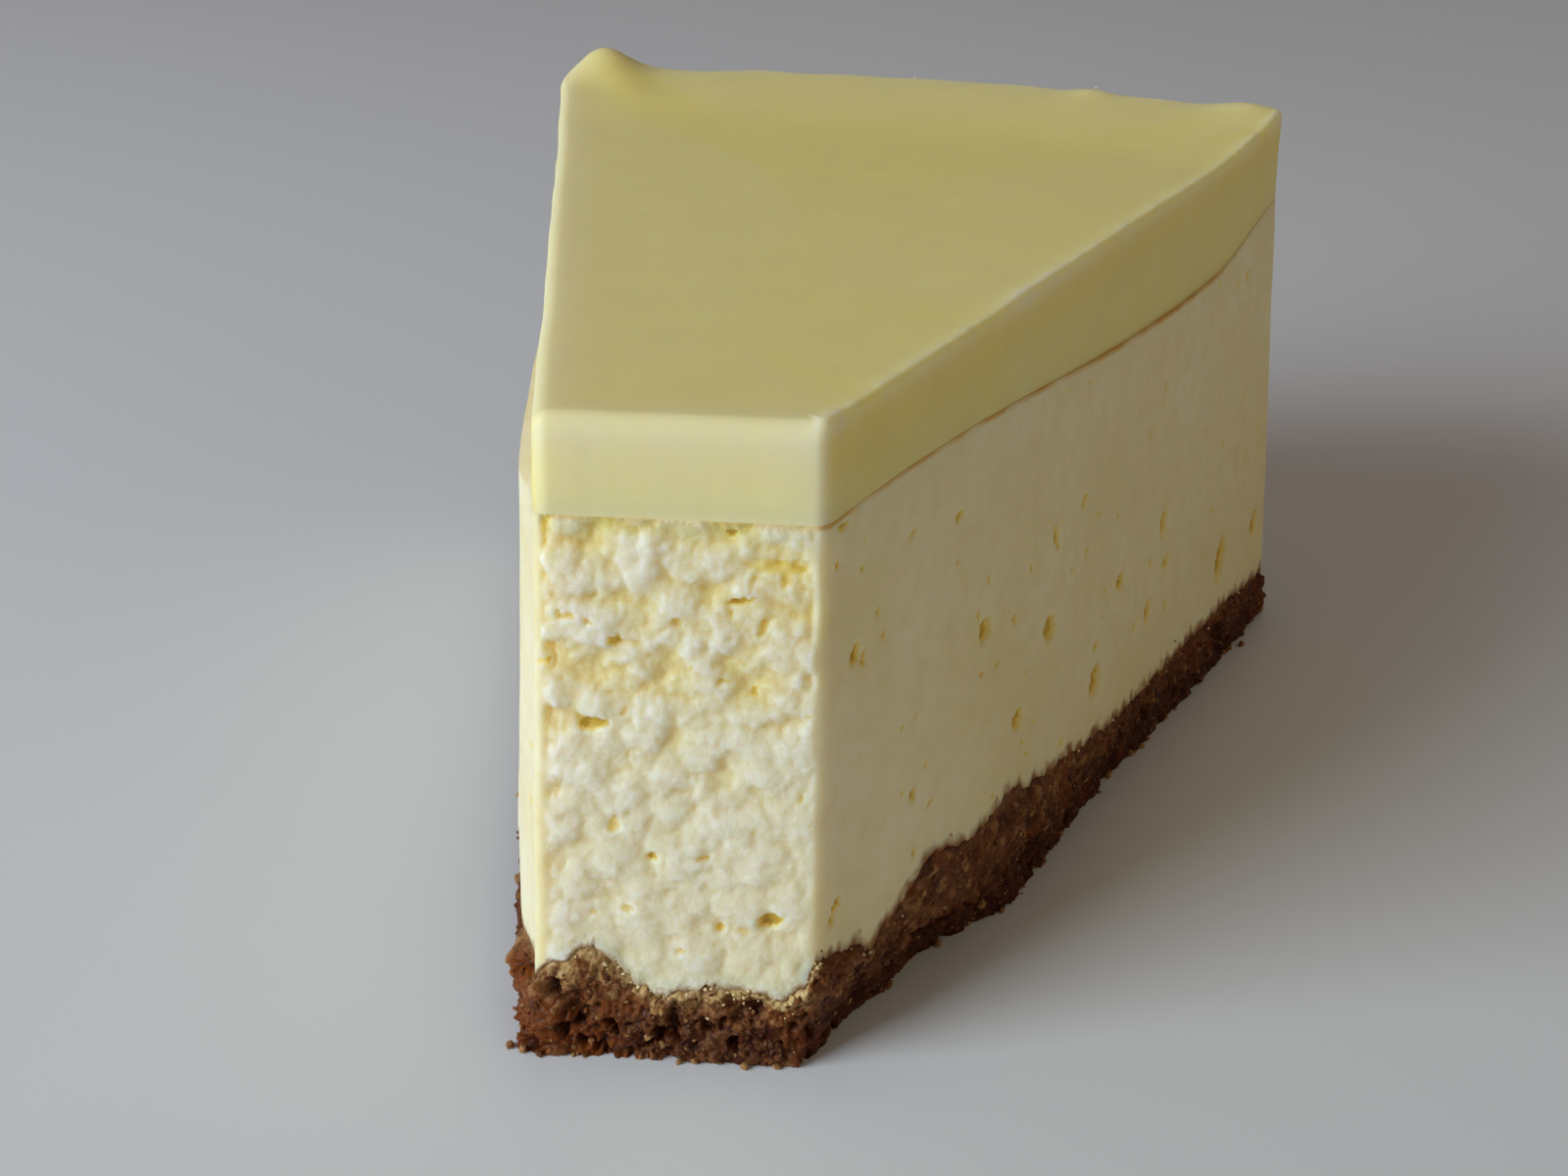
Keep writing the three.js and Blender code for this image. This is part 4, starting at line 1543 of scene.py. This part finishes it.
@dataclass(frozen=True)
class SoftLight:
    """A square light: its name, place and side in metres, power in watts and colour in linear light."""

    name: str
    place: tuple[float, float, float]
    side: float
    power: float
    colour: Colour
    aim: tuple[float, float, float] = (0.0, 0.0, 0.03)

    def build(self) -> None:
        """Make the light and turn it to the slice's middle."""
        data = bpy.data.lights.new(self.name, "AREA")
        data.shape = "SQUARE"
        data.size = self.side
        data.energy = self.power
        data.color = self.colour
        light = bpy.data.objects.new(self.name, data)
        bpy.context.collection.objects.link(light)
        ahead = Vector(self.aim) - Vector(self.place)
        turn = ahead.to_track_quat("-Z", "Y").to_matrix().to_4x4()
        light.matrix_world = Matrix.Translation(Vector(self.place)) @ turn


@dataclass
class Studio:
    """Floor, lights and the camera, which stands where the picture was taken."""

    focal_px: float = 2074.79
    picture_px: float = 1600.0
    camera_mm: tuple[float, float, float] = (36.50, -169.84, 106.92)
    yaw: float = math.radians(13.177)
    pitch: float = math.radians(27.060)
    roll: float = math.radians(0.428)
    sensor_mm: float = 36.0
    floor_half: float = 2600.0
    floor_near: float = -2500.0
    sweep_start: float = 900.0
    sweep_radius: float = 700.0
    window: SoftLight = SoftLight("window", (-0.66, -0.60, 0.46), 0.55, 10.0, (0.81, 0.91, 1.0))
    bounce: SoftLight = SoftLight("bounce", (0.9, -0.2, 0.45), 0.8, 0.9, (1.0, 0.95, 0.45))
    room_colour: Colour = (1.0, 0.75, 0.66)
    room_strength: float = 0.18
    floor_finish: PaleFloor = PaleFloor()

    def camera(self) -> None:
        """Place the camera by its position and its three turns."""
        data = bpy.data.cameras.new("camera")
        data.sensor_fit = "HORIZONTAL"
        data.sensor_width = self.sensor_mm
        data.lens = self.focal_px * self.sensor_mm / self.picture_px
        data.clip_start = 0.01
        data.clip_end = 50.0
        camera = bpy.data.objects.new("camera", data)
        bpy.context.collection.objects.link(camera)
        cy, sy, cp, sp = math.cos(self.yaw), math.sin(self.yaw), math.cos(self.pitch), math.sin(self.pitch)
        forward = Vector((-sy * cp, cy * cp, -sp))
        right = Vector((cy, sy, 0.0))
        up = right.cross(forward)
        turned_right = right * math.cos(self.roll) + up * math.sin(self.roll)
        turned_up = up * math.cos(self.roll) - right * math.sin(self.roll)
        axes = Matrix((turned_right, turned_up, -forward)).transposed().to_4x4()
        camera.matrix_world = Matrix.Translation(Vector(self.camera_mm) * MM) @ axes
        bpy.context.scene.camera = camera

    def floor(self) -> None:
        """A wide sweep: flat under the slice and turning up far behind it.

        Formula: a profile, flat and then a quarter round, carried along X.
        """
        turn = np.linspace(0.0, math.pi / 2.0, 24)
        start, radius = self.sweep_start, self.sweep_radius
        y = np.concatenate([[self.floor_near, start], start + radius * np.sin(turn), [start + radius]])
        z = np.concatenate([[0.0, 0.0], radius * (1.0 - np.cos(turn)), [self.floor_half]])
        sides = (-self.floor_half, self.floor_half)
        grid = np.stack([np.stack([np.full(len(y), side), y, z], axis=1) for side in sides])
        count = len(y)
        at = np.arange(count - 1)
        faces = np.stack([at, at + count, at + count + 1, at + 1], axis=1)
        mesh = bpy.data.meshes.new("floor")
        mesh.from_pydata((grid.reshape(-1, 3) * MM).tolist(), [], faces.tolist())
        mesh.polygons.foreach_set("use_smooth", np.ones(len(faces), dtype=bool))
        mesh.materials.append(self.floor_finish.material("Pale floor, matt"))
        floor = bpy.data.objects.new("floor", mesh)
        bpy.context.collection.objects.link(floor)

    def lights(self) -> None:
        """A window at the left and in front, a weak warm bounce from the right, and a grey room."""
        self.window.build()
        self.bounce.build()
        world = bpy.data.worlds.new("room")
        world.use_nodes = True
        background = world.node_tree.nodes["Background"]
        background.inputs["Color"].default_value = (*self.room_colour, 1.0)
        background.inputs["Strength"].default_value = self.room_strength
        bpy.context.scene.world = world

    def build(self) -> None:
        """Set up everything round the slice."""
        self.camera()
        self.floor()
        self.lights()
        bpy.context.scene.view_settings.view_transform = "Standard"
        bpy.context.scene.view_settings.look = "None"


def main() -> None:
    """Dress the three layers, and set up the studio."""
    logging.basicConfig(level=logging.INFO, format="%(name)s: %(message)s")
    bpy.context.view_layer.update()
    form = SliceForm()
    for layer in (BiscuitBase(form), CheeseFilling(form), SetTopping(form)):
        for piece in layer.build():
            triangles = sum(len(face.vertices) - 2 for face in piece.data.polygons)
            log.info("%s: %d triangles", piece.name, triangles)
    Studio().build()


if __name__ == "__main__":
    main()
